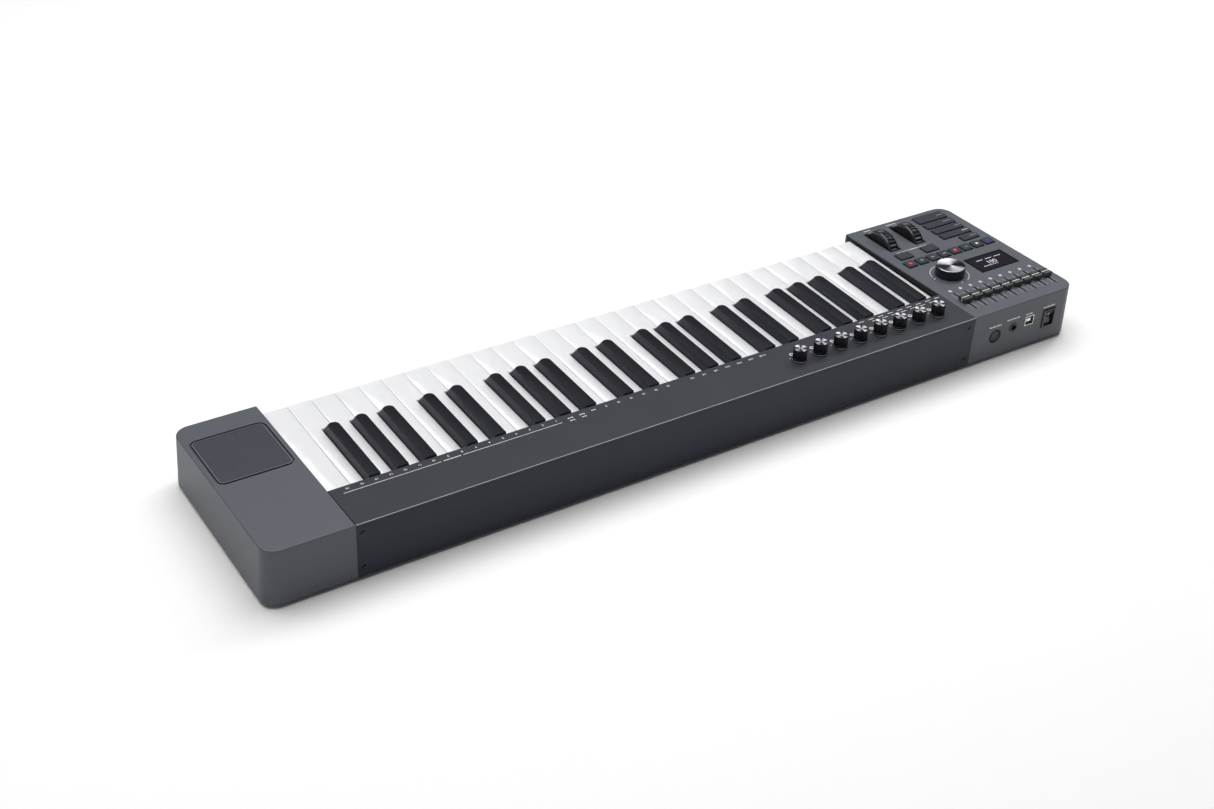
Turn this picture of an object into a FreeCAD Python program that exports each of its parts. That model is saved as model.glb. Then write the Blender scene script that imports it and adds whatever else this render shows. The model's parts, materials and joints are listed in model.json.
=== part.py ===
import FreeCAD, Part
import math
import os
import Sketcher

# A 49-key controller keyboard, in millimetres. +X runs to the player's right, +Y to the rear and +Z up.
# The origin is under the middle of the case, on the surface that the rubber feet stand on.
#
# The top panel slopes down towards the player. Pieces that sit in it are drawn in panel coordinates:
# x along the case, y back from the front edge of the centre rail, z out of the panel. One placement
# carries them all to where the panel is.

DIMENSIONS = {
    "case_length": 909.0,       # over the feet of the flared end walls
    "side_flare": 3.0,          # how far each end wall leans out from top to bottom
    "case_front": -104.2,
    "case_rear": 102.8,
    "foot_height": 4.0,
    "wall": 2.5,
    "corner_radius": 15.0,
    "edge_round": 1.2,
    "panel_height": 58.5,       # top panel above the table at the rail's front edge
    "panel_tilt": 1.49,         # degrees
    "rail_front": 47.2,
    "rail_depth": 55.6,
    "rail_lip": 7.2,
    "control_inner": -312.9,    # the faces of the two end blocks that look at the keys
    "pad_inner": 371.2,
    "keys_middle": 29.0,
    "octave_width": 164.5,
    "key_gap": 0.9,
    "key_wall": 1.7,
    "white_front": -95.9,
    "white_top": 50.6,
    "white_skirt": 34.0,
    "white_front_skirt": 31.5,
    "black_front": -46.8,
    "black_base": 12.8,
    "black_top": 10.8,
    "black_rise_front": 9.2,
    "black_rise_rear": 8.8,
    "black_slope": 6.0,
    "black_base_round": 0.35,    # corner radius at the nose, as a share of the half width
    "black_crest_round": 0.95,
    "black_rear": 46.0,
    "black_clearance": 1.0,
    "key_cover": 52.0,          # how far the keys' tops run under the rail
    "tail_width": 9.0,
    "tail_top": 46.0,
    "tail_bottom": 36.0,
    "tail_end": 93.0,
    "pivot_back": 87.2,
    "pivot_height": 40.0,
    "pivot_radius": 1.5,
    "pivot_bore": 1.58,
    "guide_back": -78.0,
    "knob_radius": 7.0,
    "knob_height": 13.5,
    "knob_pitch": 25.0,
    "knob_first": -107.5,
    "knob_back": 31.0,
    "shaft_radius": 3.0,
    "shaft_bore": 3.05,
    "dial_radius": 15.7,
    "dial_height": 11.0,
    "dial_across": -351.0,
    "dial_back": -27.0,
    "wheel_radius": 24.0,
    "wheel_width": 12.5,
    "wheel_sink": 12.0,
    "wheel_back": -117.8,
    "mod_across": -336.3,
    "pitch_across": -371.3,
    "wheel_slot_width": 15.6,
    "wheel_slot_length": 46.0,
    "axle_radius": 2.0,
    "axle_bore": 2.06,
    "fader_first": -326.8,
    "fader_pitch": 13.93,
    "fader_back": 23.6,
    "fader_slot_length": 34.6,
    "fader_slot_width": 2.0,
    "fader_cap_width": 10.0,
    "fader_cap_length": 10.5,
    "fader_cap_height": 4.8,
    "button_gap": 0.35,
    "button_rise": 1.7,
    "button_depth": 8.4,
    "button_round": 1.6,
    "transport_first": -328.7,
    "transport_pitch": 15.6,
    "transport_back": -63.2,
    "transport_width": 12.5,
    "transport_length": 12.0,
    "pad_left": 377.5,
    "pad_right": 445.0,
    "pad_front": -123.5,
    "pad_back": -53.0,
    "pad_groove": 2.0,
    "pad_corner": 6.0,
    "window_left": -437.0,
    "window_right": -384.0,
    "window_front": -43.0,
    "window_back": -12.0,
    "midi_across": -345.1,
    "midi_height": 28.7,
    "midi_radius": 8.0,
    "jack_across": -370.0,
    "jack_height": 32.0,
    "jack_bore": 3.25,
    "jack_bush": 5.2,
    "usb_across": -392.4,
    "usb_height": 33.9,
    "usb_width": 12.0,
    "usb_tall": 10.9,
    "switch_across": -419.8,
    "switch_height": 29.8,
    "switch_width": 17.4,
    "switch_tall": 21.6,
    "switch_proud": 1.4,
    "rocker_width": 11.8,
    "rocker_tall": 16.0,
    "rocker_tilt": 8.0,         # degrees either way from level
    "rocker_sink": 3.2,
    "rocker_pin": 1.2,
    "rear_screw_left": -307.0,
    "rear_screw_right": 365.0,
    "rear_screw_low": 12.6,
    "rear_screw_high": 48.7,
    "board": 1.6,
    "floor": 2.5,
}

KNOBS = 8
FADERS = 9
TRANSPORT_BUTTONS = 8
OCTAVES = 4
WHITE_GROUPS = 3
BLACK_GROUPS = 2

# Semitones of an octave that are white keys, and how far each black key stands off the joint between
# the two white keys beside it: semitone, number of the white key to its left, offset.
WHITE_SEMITONES = (0, 2, 4, 5, 7, 9, 11)
BLACK_KEYS = ((1, 0, -2.5), (3, 1, 2.5), (6, 3, -3.5), (8, 4, 0.0), (10, 5, 3.5))

# Middle x, middle y, width and length of the function and octave buttons, in panel coordinates.
FUNCTION_BUTTONS = (
    (-418.8, -135.5, 40.5, 14.6),
    (-418.8, -119.9, 40.5, 10.8),
    (-418.8, -106.2, 40.5, 10.0),
    (-418.8, -93.5, 40.5, 10.0),
    (-427.0, -80.2, 23.0, 10.0),
)
OCTAVE_BUTTONS = {
    "octave_down": (-370.4, -80.7, 18.2, 12.4),
    "octave_up": (-335.0, -80.7, 18.2, 12.4),
}

Vector = FreeCAD.Vector
ALONG = {
    "x": FreeCAD.Rotation(Vector(0, 1, 0), 90),
    "y": FreeCAD.Rotation(Vector(1, 0, 0), -90),
    "z": FreeCAD.Rotation(),
}

doc = FreeCAD.newDocument("controller_keyboard")
sheet = doc.addObject("Spreadsheet::Sheet", "Dims")
for row, (alias, number) in enumerate(DIMENSIONS.items(), start=1):
    sheet.set("A%d" % row, alias)
    sheet.set("B%d" % row, str(number))
    sheet.setAlias("B%d" % row, alias)
doc.recompute()

nodes = {}


class Size:
    """A length with both its number and the sheet formula that it comes from."""

    def __init__(self, number, formula):
        self.number = number
        self.formula = formula

    def __add__(self, other):
        return joined(self, other, "+")

    def __radd__(self, other):
        return joined(other, self, "+")

    def __sub__(self, other):
        return joined(self, other, "-")

    def __rsub__(self, other):
        return joined(other, self, "-")

    def __mul__(self, other):
        return joined(self, other, "*")

    def __rmul__(self, other):
        return joined(other, self, "*")

    def __truediv__(self, other):
        return joined(self, other, "/")

    def __neg__(self):
        return joined(0.0, self, "-")


def sized(value):
    if isinstance(value, Size):
        return value
    return Size(float(value), "(%.6f)" % value)


def joined(left, right, sign):
    left, right = sized(left), sized(right)
    numbers = {
        "+": left.number + right.number,
        "-": left.number - right.number,
        "*": left.number * right.number,
        "/": left.number / (right.number or 1.0),
    }
    return Size(numbers[sign], "(%s %s %s)" % (left.formula, sign, right.formula))


def dim(alias):
    """A driving dimension, as a Size."""
    return Size(float(sheet.get(alias)), "Dims." + alias)


def mm(alias):
    """A driving dimension, as a plain number."""
    return float(sheet.get(alias))


def bind(item, name, size):
    size = sized(size)
    if name.startswith("Placement"):
        item.setExpression("." + name, size.formula)
    else:
        item.setExpression(name, size.formula)


def moved(item, at):
    for axis, size in zip("xyz", at):
        bind(item, "Placement.Base." + axis, size)
    return item


def box(name, across, back, up):
    """A block between two bounds along each axis."""
    item = doc.addObject("Part::Box", name)
    for prop, (low, high) in zip(("Length", "Width", "Height"), (across, back, up)):
        bind(item, prop, sized(high) - low)
    return moved(item, (across[0], back[0], up[0]))


def cylinder(name, start, radius, length, axis="z"):
    item = doc.addObject("Part::Cylinder", name)
    item.Placement = FreeCAD.Placement(Vector(), ALONG[axis])
    bind(item, "Radius", radius)
    bind(item, "Height", length)
    return moved(item, start)


def fused(name, items):
    item = doc.addObject("Part::MultiFuse", name)
    item.Shapes = items
    item.Refine = True
    return item


def grouped(name, items):
    item = doc.addObject("Part::Compound", name)
    item.Links = items
    return item


def cut(name, base, tools):
    item = doc.addObject("Part::Cut", name)
    item.Base = base
    item.Tool = tools[0] if len(tools) == 1 else grouped(name + "_cutters", tools)
    item.Refine = True
    return item


def rounded(name, base, radius, chosen):
    """Rounds the edges of base that chosen() picks."""
    doc.recompute()
    item = doc.addObject("Part::Fillet", name)
    item.Base = base
    edges = [index for index, edge in enumerate(base.Shape.Edges, start=1) if chosen(edge)]
    item.Edges = [(index, radius, radius) for index in edges]
    doc.recompute()
    return item


def on_panel(item):
    """Carries an item from panel coordinates to the sloping top panel."""
    item.Placement = FreeCAD.Placement(Vector(0, 0, 0), FreeCAD.Rotation(Vector(1, 0, 0), mm("panel_tilt")))
    bind(item, "Placement.Base.y", dim("rail_front"))
    bind(item, "Placement.Base.z", dim("panel_height"))
    bind(item, "Placement.Rotation.Angle", dim("panel_tilt"))
    return item


def node(label, item):
    item.Label = label
    nodes[label] = item
    return item


def upright(edge):
    """True for an edge that runs mostly up and down."""
    bounds = edge.BoundBox
    return bounds.ZLength > 4 * max(bounds.XLength, bounds.YLength)


def above(height):
    return lambda edge: edge.BoundBox.ZMin > height


# ---------------------------------------------------------------- sketches and bodies


def origin_plane(body, role):
    return [item for item in body.Origin.OriginFeatures if item.Role == role][0]


def sketch_on(body, name, role="XY_Plane"):
    sketch = body.newObject("Sketcher::SketchObject", name)
    sketch.AttachmentSupport = [(origin_plane(body, role), "")]
    sketch.MapMode = "FlatFace"
    return sketch


def polygon(sketch, corners):
    """A closed outline whose corners are tied to the sheet, one pair of lengths each."""
    points = [Vector(sized(x).number, sized(y).number, 0) for x, y in corners]
    count = len(points)
    for index in range(count):
        sketch.addGeometry(Part.LineSegment(points[index], points[(index + 1) % count]), False)
    for index in range(count):
        sketch.addConstraint(Sketcher.Constraint("Coincident", index, 2, (index + 1) % count, 1))
    for index, (x, y) in enumerate(corners):
        for kind, size in (("DistanceX", sized(x)), ("DistanceY", sized(y))):
            constraint = sketch.addConstraint(Sketcher.Constraint(kind, -1, 1, index, 1, size.number))
            name = "%s_%d" % (kind, index)
            sketch.renameConstraint(constraint, name)
            sketch.setExpression("Constraints." + name, size.formula)
    return sketch


def rectangle(sketch, across, back):
    corners = [(across[0], back[0]), (across[1], back[0]), (across[1], back[1]), (across[0], back[1])]
    return polygon(sketch, corners)


def pad(body, name, sketch, length, low=0.0):
    """Pads a sketch upwards from the height low."""
    bind(sketch, ".AttachmentOffset.Base.z", low)
    item = body.newObject("PartDesign::Pad", name)
    item.Profile = sketch
    item.Type = "Length"
    bind(item, "Length", length)
    sketch.Visibility = False
    return item


def fillet(body, name, radius, chosen):
    doc.recompute()
    base = body.Tip
    item = body.newObject("PartDesign::Fillet", name)
    names = ["Edge%d" % index for index, edge in enumerate(base.Shape.Edges, start=1) if chosen(edge)]
    item.Base = (base, names)
    bind(item, "Radius", radius)
    doc.recompute()
    return item


def turned(label, outline):
    """A round piece: outline gives (radius, height) corners, turned about the panel's normal."""
    body = doc.addObject("PartDesign::Body", label + "_body")
    sketch = polygon(sketch_on(body, label + "_outline", "XZ_Plane"), outline)
    spin = body.newObject("PartDesign::Revolution", label + "_spin")
    spin.Profile = sketch
    spin.ReferenceAxis = (sketch, ["V_Axis"])
    spin.Angle = 360
    return body


# ---------------------------------------------------------------- casing


def block_form(name, outer, inner, outward, inset):
    """An end block's closed form with its flared end wall, or with an inset the hollow inside it."""
    low = dim("foot_height") - inset
    rise = dim("panel_height") + 8 - low
    foot_edge = outer - sized(inset) * outward
    top_edge = foot_edge - dim("side_flare") * outward * rise / (dim("panel_height") - dim("foot_height"))
    inner_edge = inner + sized(inset) * outward
    ends = (dim("case_front") + inset, dim("case_rear") - inset)
    wedge = doc.addObject("Part::Wedge", name + "_wedge")
    wedge.Placement = FreeCAD.Placement(Vector(), FreeCAD.Rotation(Vector(1, 0, 0), 90))
    if outward < 0:
        foot_span, top_span = (foot_edge, inner_edge), (top_edge, inner_edge)
    else:
        foot_span, top_span = (inner_edge, foot_edge), (inner_edge, top_edge)
    bounds = {
        "Xmin": foot_span[0],
        "Xmax": foot_span[1],
        "X2min": top_span[0],
        "X2max": top_span[1],
        "Ymin": low,
        "Ymax": low + rise,
        "Zmin": -ends[1],
        "Zmax": -ends[0],
        "Z2min": -ends[1],
        "Z2max": -ends[0],
    }
    for prop, size in bounds.items():
        bind(wedge, prop, size)
    above_panel = box(name + "_above", (-600.0, 600.0), (-400.0, 400.0), (-sized(inset), 60.0))
    form = cut(name, wedge, [on_panel(grouped(name + "_top", [above_panel]))])
    middle = (sized(outer).number + sized(inner).number) / 2

    def outer_upright(edge):
        return upright(edge) and (edge.CenterOfMass.x - middle) * outward > 0

    return rounded(name + "_corners", form, mm("corner_radius") - inset, outer_upright)


def block_shell(name, outer, inner, outward):
    """An end block's shell: walls on four sides and a top, open below."""
    form = block_form(name + "_form", outer, inner, outward, 0.0)
    lowest = top_at(mm("case_front")) - 0.5
    form = rounded(name + "_rim", form, mm("edge_round"), above(lowest))
    hollow = block_form(name + "_inside", outer, inner, outward, mm("wall"))
    wall, clear = dim("wall"), 0.3
    across = (inner - wall - 1, inner + wall + 1)
    back = (dim("case_front") + wall + clear, dim("case_rear") - wall - clear)
    step = box(name + "_step", across, back, (0.0, dim("foot_height") + dim("floor") + 0.1))
    return cut(name, form, [hollow, step])


def top_at(back):
    """Height of the panel's surface above the table, this far back."""
    return mm("panel_height") + math.tan(math.radians(mm("panel_tilt"))) * (back - mm("rail_front"))


def panel_hole(name, middle, size, gap=0.0):
    """A square-cornered cutter through the top panel."""
    half_x, half_y = sized(size[0]) / 2 + gap, sized(size[1]) / 2 + gap
    across = (sized(middle[0]) - half_x, sized(middle[0]) + half_x)
    back = (sized(middle[1]) - half_y, sized(middle[1]) + half_y)
    return box(name, across, back, (-dim("wall") - 1, 2.0))


def fader_across(index):
    return dim("fader_first") - dim("fader_pitch") * index


def transport_across(index):
    return dim("transport_first") - dim("transport_pitch") * index


def knob_across(index):
    return dim("knob_first") - dim("knob_pitch") * index


def boss(name, x, y):
    """A screw boss that hangs from the underside of a block's top."""
    return cylinder(name, (x, y, dim("foot_height") + dim("floor") + 0.1), 3.0, top_at(y) - 8.2)


CONTROL_BOSSES = ((-320.0, -96.0), (-445.6, -84.0), (-446.2, 74.0), (-320.0, 97.0))
PAD_BOSSES = ((378.0, -96.0), (445.6, -84.0), (446.2, 74.0), (378.0, 95.0))


def screw_pilot(name, x, y):
    """The hole that a bottom screw cuts into its boss."""
    return cylinder(name, (x, y, 0.0), 1.3, 20.0)


def control_housing():
    body = block_shell("control_shell", -dim("case_length") / 2, dim("control_inner"), -1)
    tools = []
    for name in ("mod", "pitch"):
        middle = (dim(name + "_across"), dim("wheel_back"))
        tools.append(panel_hole(name + "_slot", middle, (dim("wheel_slot_width"), dim("wheel_slot_length"))))
    for index, (x, y, width, length) in enumerate(FUNCTION_BUTTONS):
        tools.append(panel_hole("function_hole_%d" % (index + 1), (x, y), (width, length), dim("button_gap")))
    for label, (x, y, width, length) in OCTAVE_BUTTONS.items():
        tools.append(panel_hole(label + "_hole", (x, y), (width, length), dim("button_gap")))
    for index in range(TRANSPORT_BUTTONS):
        middle = (transport_across(index), dim("transport_back"))
        size = (dim("transport_width"), dim("transport_length"))
        tools.append(panel_hole("transport_hole_%d" % (index + 1), middle, size, dim("button_gap")))
    for index in range(FADERS):
        middle = (fader_across(index), dim("fader_back"))
        size = (dim("fader_slot_width"), dim("fader_slot_length"))
        tools.append(panel_hole("fader_slot_%d" % (index + 1), middle, size))
    window_across = (dim("window_left") - 0.1, dim("window_right") + 0.1)
    window_back = (dim("window_front") - 0.1, dim("window_back") + 0.1)
    tools.append(box("window_hole", window_across, window_back, (-4.0, 2.0)))
    tools.append(cylinder("dial_hole", (dim("dial_across"), dim("dial_back"), -4.0), 3.6, 6.0))
    panel_tools = on_panel(grouped("control_panel_holes", tools))
    rear = dim("case_rear") - dim("wall") - 1
    depth = dim("wall") + 2
    switch = (dim("switch_across"), dim("switch_height"))
    midi_start = (dim("midi_across"), rear, dim("midi_height"))
    jack_start = (dim("jack_across"), rear, dim("jack_height"))
    rear_tools = [
        cylinder("midi_hole", midi_start, dim("midi_radius") + 0.2, depth, "y"),
        cylinder("jack_hole", jack_start, dim("jack_bush") + 0.2, depth, "y"),
        box(
            "usb_hole",
            (dim("usb_across") - dim("usb_width") / 2 - 0.3, dim("usb_across") + dim("usb_width") / 2 + 0.3),
            (rear, rear + depth),
            (dim("usb_height") - dim("usb_tall") / 2 - 0.3, dim("usb_height") + dim("usb_tall") / 2 + 0.3),
        ),
        box(
            "switch_hole",
            (switch[0] - dim("switch_width") / 2 + 1.2, switch[0] + dim("switch_width") / 2 - 1.2),
            (rear, rear + depth),
            (switch[1] - dim("switch_tall") / 2 + 1.2, switch[1] + dim("switch_tall") / 2 - 1.2),
        ),
    ]
    bosses = [boss("control_boss_%d" % number, *place) for number, place in enumerate(CONTROL_BOSSES)]
    pilots = [screw_pilot("control_pilot_%d" % number, *place) for number, place in enumerate(CONTROL_BOSSES)]
    whole = fused("control_whole", [body] + bosses)
    node("control_housing", cut("control_housing_cut", whole, [panel_tools] + rear_tools + pilots))


def pad_housing():
    body = block_shell("pad_shell", dim("case_length") / 2, dim("pad_inner"), 1)
    groove = dim("pad_groove")
    hole = box(
        "pad_hole_block",
        (dim("pad_left") - groove, dim("pad_right") + groove),
        (dim("pad_front") - groove, dim("pad_back") + groove),
        (-dim("wall") - 1, 2.0),
    )
    hole = on_panel(rounded("pad_hole", hole, mm("pad_corner") + mm("pad_groove"), upright))
    bosses = [boss("pad_boss_%d" % number, *place) for number, place in enumerate(PAD_BOSSES)]
    pilots = [screw_pilot("pad_pilot_%d" % number, *place) for number, place in enumerate(PAD_BOSSES)]
    node("pad_housing", cut("pad_housing_cut", fused("pad_whole", [body] + bosses), [hole] + pilots))


def base_tray():
    """The floor pan, with the low rail in front of the keys."""
    foot, floor = dim("foot_height"), dim("floor")
    end = dim("case_length") / 2 - dim("wall") - 0.6
    inside = (dim("control_inner") + 0.3, dim("pad_inner") - 0.3)
    wall_clear = dim("wall") + 0.4
    plate = box(
        "tray_plate",
        (-end, end),
        (dim("case_front") + wall_clear, dim("case_rear") - wall_clear),
        (foot, foot + floor),
    )
    plate = rounded("tray_plate_round", plate, mm("corner_radius"), upright)
    toe = box("tray_toe", inside, (dim("case_front"), dim("case_front") + 8), (foot, foot + floor))
    rail = box("tray_rail", inside, (dim("case_front"), dim("case_front") + 4.0), (foot, 33.0))
    whole = fused("tray_whole", [plate, toe, rail])
    whole = rounded("tray_soft", whole, 1.2, above(32.9))
    places = CONTROL_BOSSES + PAD_BOSSES
    heads = []
    for number, (x, y) in enumerate(places):
        heads.append(cylinder("tray_head_%d" % number, (x, y, 0.0), 3.0, foot + 1.3))
        heads.append(cylinder("tray_shank_%d" % number, (x, y, 0.0), 1.6, 20.0))
    node("base_tray", cut("base_tray_cut", whole, heads))


def rail_cover():
    """The centre strip: a top plate with a lip down to the keys and eight shaft holes."""
    span = (dim("control_inner") + 0.2, dim("pad_inner") - 0.2)
    wall = dim("wall")
    plate = box("rail_plate", span, (0.0, dim("rail_depth")), (-wall, 0.0))
    lip = box("rail_lip_block", span, (0.0, 2.2), (-dim("rail_lip"), 0.0))
    rib = box("rail_rib", span, (dim("rail_depth") - 5.0, dim("rail_depth") - 3.0), (-7.0, 0.0))
    whole = rounded("rail_soft", fused("rail_whole", [plate, lip, rib]), 0.8, long_top_edge)
    holes = [
        cylinder("rail_hole_%d" % (index + 1), (knob_across(index), dim("knob_back"), -4.0), 3.6, 6.0)
        for index in range(KNOBS)
    ]
    node("rail_cover", on_panel(cut("rail_cover_cut", whole, holes)))


def long_top_edge(edge):
    bounds = edge.BoundBox
    return bounds.XLength > 100 and bounds.ZMin > -0.1


def rear_panel():
    span = (dim("control_inner") + 0.3, dim("pad_inner") - 0.3)
    back = (dim("case_rear") - 2.0, dim("case_rear"))
    top = dim("panel_height") + 1.4 - dim("wall") - 0.2
    plate = box("rear_plate", span, back, (dim("foot_height") + 0.2, top))
    holes = [
        cylinder("rear_hole_%d" % number, (x, dim("case_rear") - 5, z), 1.6, 8.0, "y")
        for number, (x, z) in enumerate(rear_screw_places())
    ]
    node("rear_panel", cut("rear_panel_cut", plate, holes))


def rear_screw_places():
    sides = (dim("rear_screw_left"), dim("rear_screw_right"))
    return [(x, z) for x in sides for z in (dim("rear_screw_low"), dim("rear_screw_high"))]


def feet():
    places = [(x, y) for x in (-425.0, 29.0, 425.0) for y in (-84.0, 84.0)]
    discs = []
    for number, (x, y) in enumerate(places):
        disc = doc.addObject("Part::Cone", "foot_%d" % number)
        bind(disc, "Radius1", 8.2)
        bind(disc, "Radius2", 9.2)
        bind(disc, "Height", dim("foot_height"))
        discs.append(moved(disc, (x, y, 0.0)))
    node("feet", grouped("feet_group", discs))


def screw(name, head_start, head_radius, head_height, shank_length, axis):
    """A cross-head screw: the shank starts at the far side of the head and runs along axis."""
    x, y, z = (sized(size) for size in head_start)
    head = cylinder(name + "_head", head_start, head_radius, head_height, axis)
    if axis == "z":
        start = (x, y, z + head_height)
        slots = [
            box(name + "_slot_a", (x - 1.5, x + 1.5), (y - 0.3, y + 0.3), (z - 1.0, z + 0.6)),
            box(name + "_slot_b", (x - 0.3, x + 0.3), (y - 1.5, y + 1.5), (z - 1.0, z + 0.6)),
        ]
    else:
        start = (x, y - shank_length, z)
        tip = y + head_height
        slots = [
            box(name + "_slot_a", (x - 1.5, x + 1.5), (tip - 0.6, tip + 1.0), (z - 0.3, z + 0.3)),
            box(name + "_slot_b", (x - 0.3, x + 0.3), (tip - 0.6, tip + 1.0), (z - 1.5, z + 1.5)),
        ]
    shank = cylinder(name + "_shank", start, 1.25, shank_length, axis)
    return cut(name, fused(name + "_blank", [head, shank]), slots)


def screws():
    items = []
    for number, (x, y) in enumerate(CONTROL_BOSSES + PAD_BOSSES):
        items.append(screw("bottom_screw_%d" % number, (x, y, dim("foot_height") + 0.1), 2.7, 1.2, 10.0, "z"))
    for number, (x, z) in enumerate(rear_screw_places()):
        items.append(screw("rear_screw_%d" % number, (x, dim("case_rear"), z), 2.4, 0.9, 5.0, "y"))
    node("screws", grouped("screws_group", items))


# ---------------------------------------------------------------- keybed


def first_key_left():
    return mm("keys_middle") - mm("octave_width") / 7 * 14.5


def key_pitch():
    return mm("octave_width") / 7


def semitone_middle(octave, semitone):
    """Middle of a key's tail: the tails are evenly spaced, twelve to the octave."""
    return first_key_left() + mm("octave_width") * (octave + (semitone + 0.5) / 12)


def black_middle(octave, left_white, offset):
    return first_key_left() + mm("octave_width") * octave + key_pitch() * (left_white + 1) + offset


def block(across, back, up):
    size = (across[1] - across[0], back[1] - back[0], up[1] - up[0])
    return Part.makeBox(*size, Vector(across[0], back[0], up[0]))


def tail(middle):
    """The part of a key that runs under the rail to its pivot, and its bore."""
    half = mm("tail_width") / 2
    across = (middle - half, middle + half)
    bar = block(across, (mm("rail_front") - 4, mm("tail_end")), (mm("tail_bottom"), mm("tail_top")))
    start = Vector(middle - half - 1, mm("pivot_back"), mm("pivot_height"))
    bore = Part.makeCylinder(mm("pivot_bore"), 2 * half + 2, start, Vector(1, 0, 0))
    return bar, bore


def shell_cavity(across, back, up):
    """The hollow under a key's top, a wall's thickness in from each side."""
    wall = mm("key_wall")
    inner_across = (across[0] + wall, across[1] - wall)
    inner_back = (back[0] + wall, back[1] - wall)
    return block(inner_across, inner_back, (up[0], up[1] - wall))


def plunger(middle, top):
    """The rib that presses the key's contact dome."""
    return block((middle - 2.5, middle + 2.5), (18.6, 21.4), (31.5, top))


def white_key(octave, number):
    """A natural: full width in front of the black keys, notched beside them, with its tail."""
    pitch, gap = key_pitch(), mm("key_gap")
    octave_left = first_key_left() + mm("octave_width") * octave
    left = octave_left + pitch * number + gap / 2
    right = left + pitch - gap
    notch = mm("black_base") / 2 + mm("black_clearance")
    narrow = [left, right]
    for semitone, left_white, offset in BLACK_KEYS:
        middle = black_middle(octave, left_white, offset)
        if left_white == number and octave < OCTAVES:
            narrow[1] = middle - notch
        if left_white == number - 1:
            narrow[0] = middle + notch
    step = mm("black_front") - mm("black_clearance")
    top, skirt = mm("white_top"), mm("white_skirt")
    head_back, neck_back = (mm("white_front"), step), (step - 0.01, mm("key_cover"))
    head = block((left, right), head_back, (skirt, top))
    neck = block(narrow, neck_back, (38.0, top))
    lip_back = (mm("white_front"), mm("white_front") + mm("key_wall"))
    lip = block((left, right), lip_back, (mm("white_front_skirt"), top))
    solid = head.fuse([neck, lip]).removeSplitter()
    front = [
        edge
        for edge in solid.Edges
        if edge.BoundBox.YMax < mm("white_front") + 0.1
        and (edge.BoundBox.ZMin > top - 0.1 or (upright(edge) and edge.BoundBox.ZMax > top - 0.1))
    ]
    solid = solid.makeFillet(1.3, front)
    hollow = shell_cavity((left, right), head_back, (skirt - 5, top))
    neck_hollow = shell_cavity(narrow, (step - 4, mm("rail_front") - 6), (30.0, top))
    solid = solid.cut([hollow, neck_hollow])
    middle = semitone_middle(octave, WHITE_SEMITONES[number])
    bar, bore = tail(middle)
    solid = solid.fuse([bar, plunger(middle, top - 1)]).cut(bore)
    return solid.removeSplitter()


def key_outline(middle, half, front, rear, height, share):
    """A sharp's outline at one height: square at the rear, with rounded corners at the front."""
    turn = share * half
    left, right = middle - half, middle + half
    points = [
        Vector(left, rear, height),
        Vector(left, front + turn, height),
        Vector(left + turn, front, height),
        Vector(right - turn, front, height),
        Vector(right, front + turn, height),
        Vector(right, rear, height),
    ]
    inset = turn * (1 - math.sqrt(0.5))
    left_arc = Part.Arc(points[1], Vector(left + inset, front + inset, height), points[2])
    right_arc = Part.Arc(points[3], Vector(right - inset, front + inset, height), points[4])
    pieces = [
        Part.makeLine(points[0], points[1]),
        left_arc.toShape(),
        Part.makeLine(points[2], points[3]),
        right_arc.toShape(),
        Part.makeLine(points[4], points[5]),
        Part.makeLine(points[5], points[0]),
    ]
    return Part.Wire(pieces)


def black_crown(middle):
    """The part of a sharp that stands above the naturals: bevelled sides and a sloping, rounded nose."""
    surface, low = mm("white_top"), mm("white_top") - 4.0
    base, crest = mm("black_base") / 2, mm("black_top") / 2
    front, rear, run = mm("black_front"), mm("black_rear"), mm("black_slope")
    high_front, high_rear = surface + mm("black_rise_front"), surface + mm("black_rise_rear")
    round_base, round_crest = mm("black_base_round"), mm("black_crest_round")
    lower = key_outline(middle, base, front, rear, surface, round_base)
    upper = key_outline(middle, crest, front + run, rear, high_front, round_crest)
    slopes = Part.makeLoft([lower, upper], True, True)
    outline = key_outline(middle, base, front, rear, low, round_base)
    skirt = Part.Face(outline).extrude(Vector(0, 0, surface - low))
    roof = [(front, high_front), (rear, high_rear), (rear, high_front + 9), (front, high_front + 9)]
    corners = [Vector(middle - 20, y, z) for y, z in roof]
    above_roof = Part.Face(Part.makePolygon(corners + corners[:1])).extrude(Vector(40, 0, 0))
    return slopes.cut(above_roof).fuse(skirt)


def black_key(octave, semitone, left_white, offset):
    """A sharp: its crown, the skirt below it, and its tail."""
    middle = black_middle(octave, left_white, offset)
    low, base, front, rear = mm("white_top") - 4.0, mm("black_base") / 2, mm("black_front"), mm("black_rear")
    skirt = block((middle - base, middle + base), (front + 4.6, rear), (38.0, low + 0.5))
    hollow = block((middle - base + 1.7, middle + base - 1.7), (front + 7, rear - 6), (30.0, low + 2.0))
    solid = black_crown(middle).fuse(skirt).cut(hollow)
    tail_middle = semitone_middle(octave, semitone)
    bar, bore = tail(tail_middle)
    neck = block((middle - base, middle + base), (rear - 6, rear), (38.0, low + 0.5))
    return solid.fuse([bar, neck, plunger(tail_middle, low + 2.5)]).cut(bore).removeSplitter()


def key_group(label, shapes):
    group = doc.addObject("Part::Feature", label + "_keys")
    group.Shape = Part.makeCompound(shapes)
    node(label, group)


def keys():
    whites = [white_key(octave, number) for octave in range(OCTAVES) for number in range(7)]
    whites.append(white_key(OCTAVES, 0))
    blacks = [black_key(octave, *place) for octave in range(OCTAVES) for place in BLACK_KEYS]
    for group in range(WHITE_GROUPS):
        key_group("white_keys_%d" % (group + 1), whites[group::WHITE_GROUPS])
    for group in range(BLACK_GROUPS):
        key_group("black_keys_%d" % (group + 1), blacks[group::BLACK_GROUPS])


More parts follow.
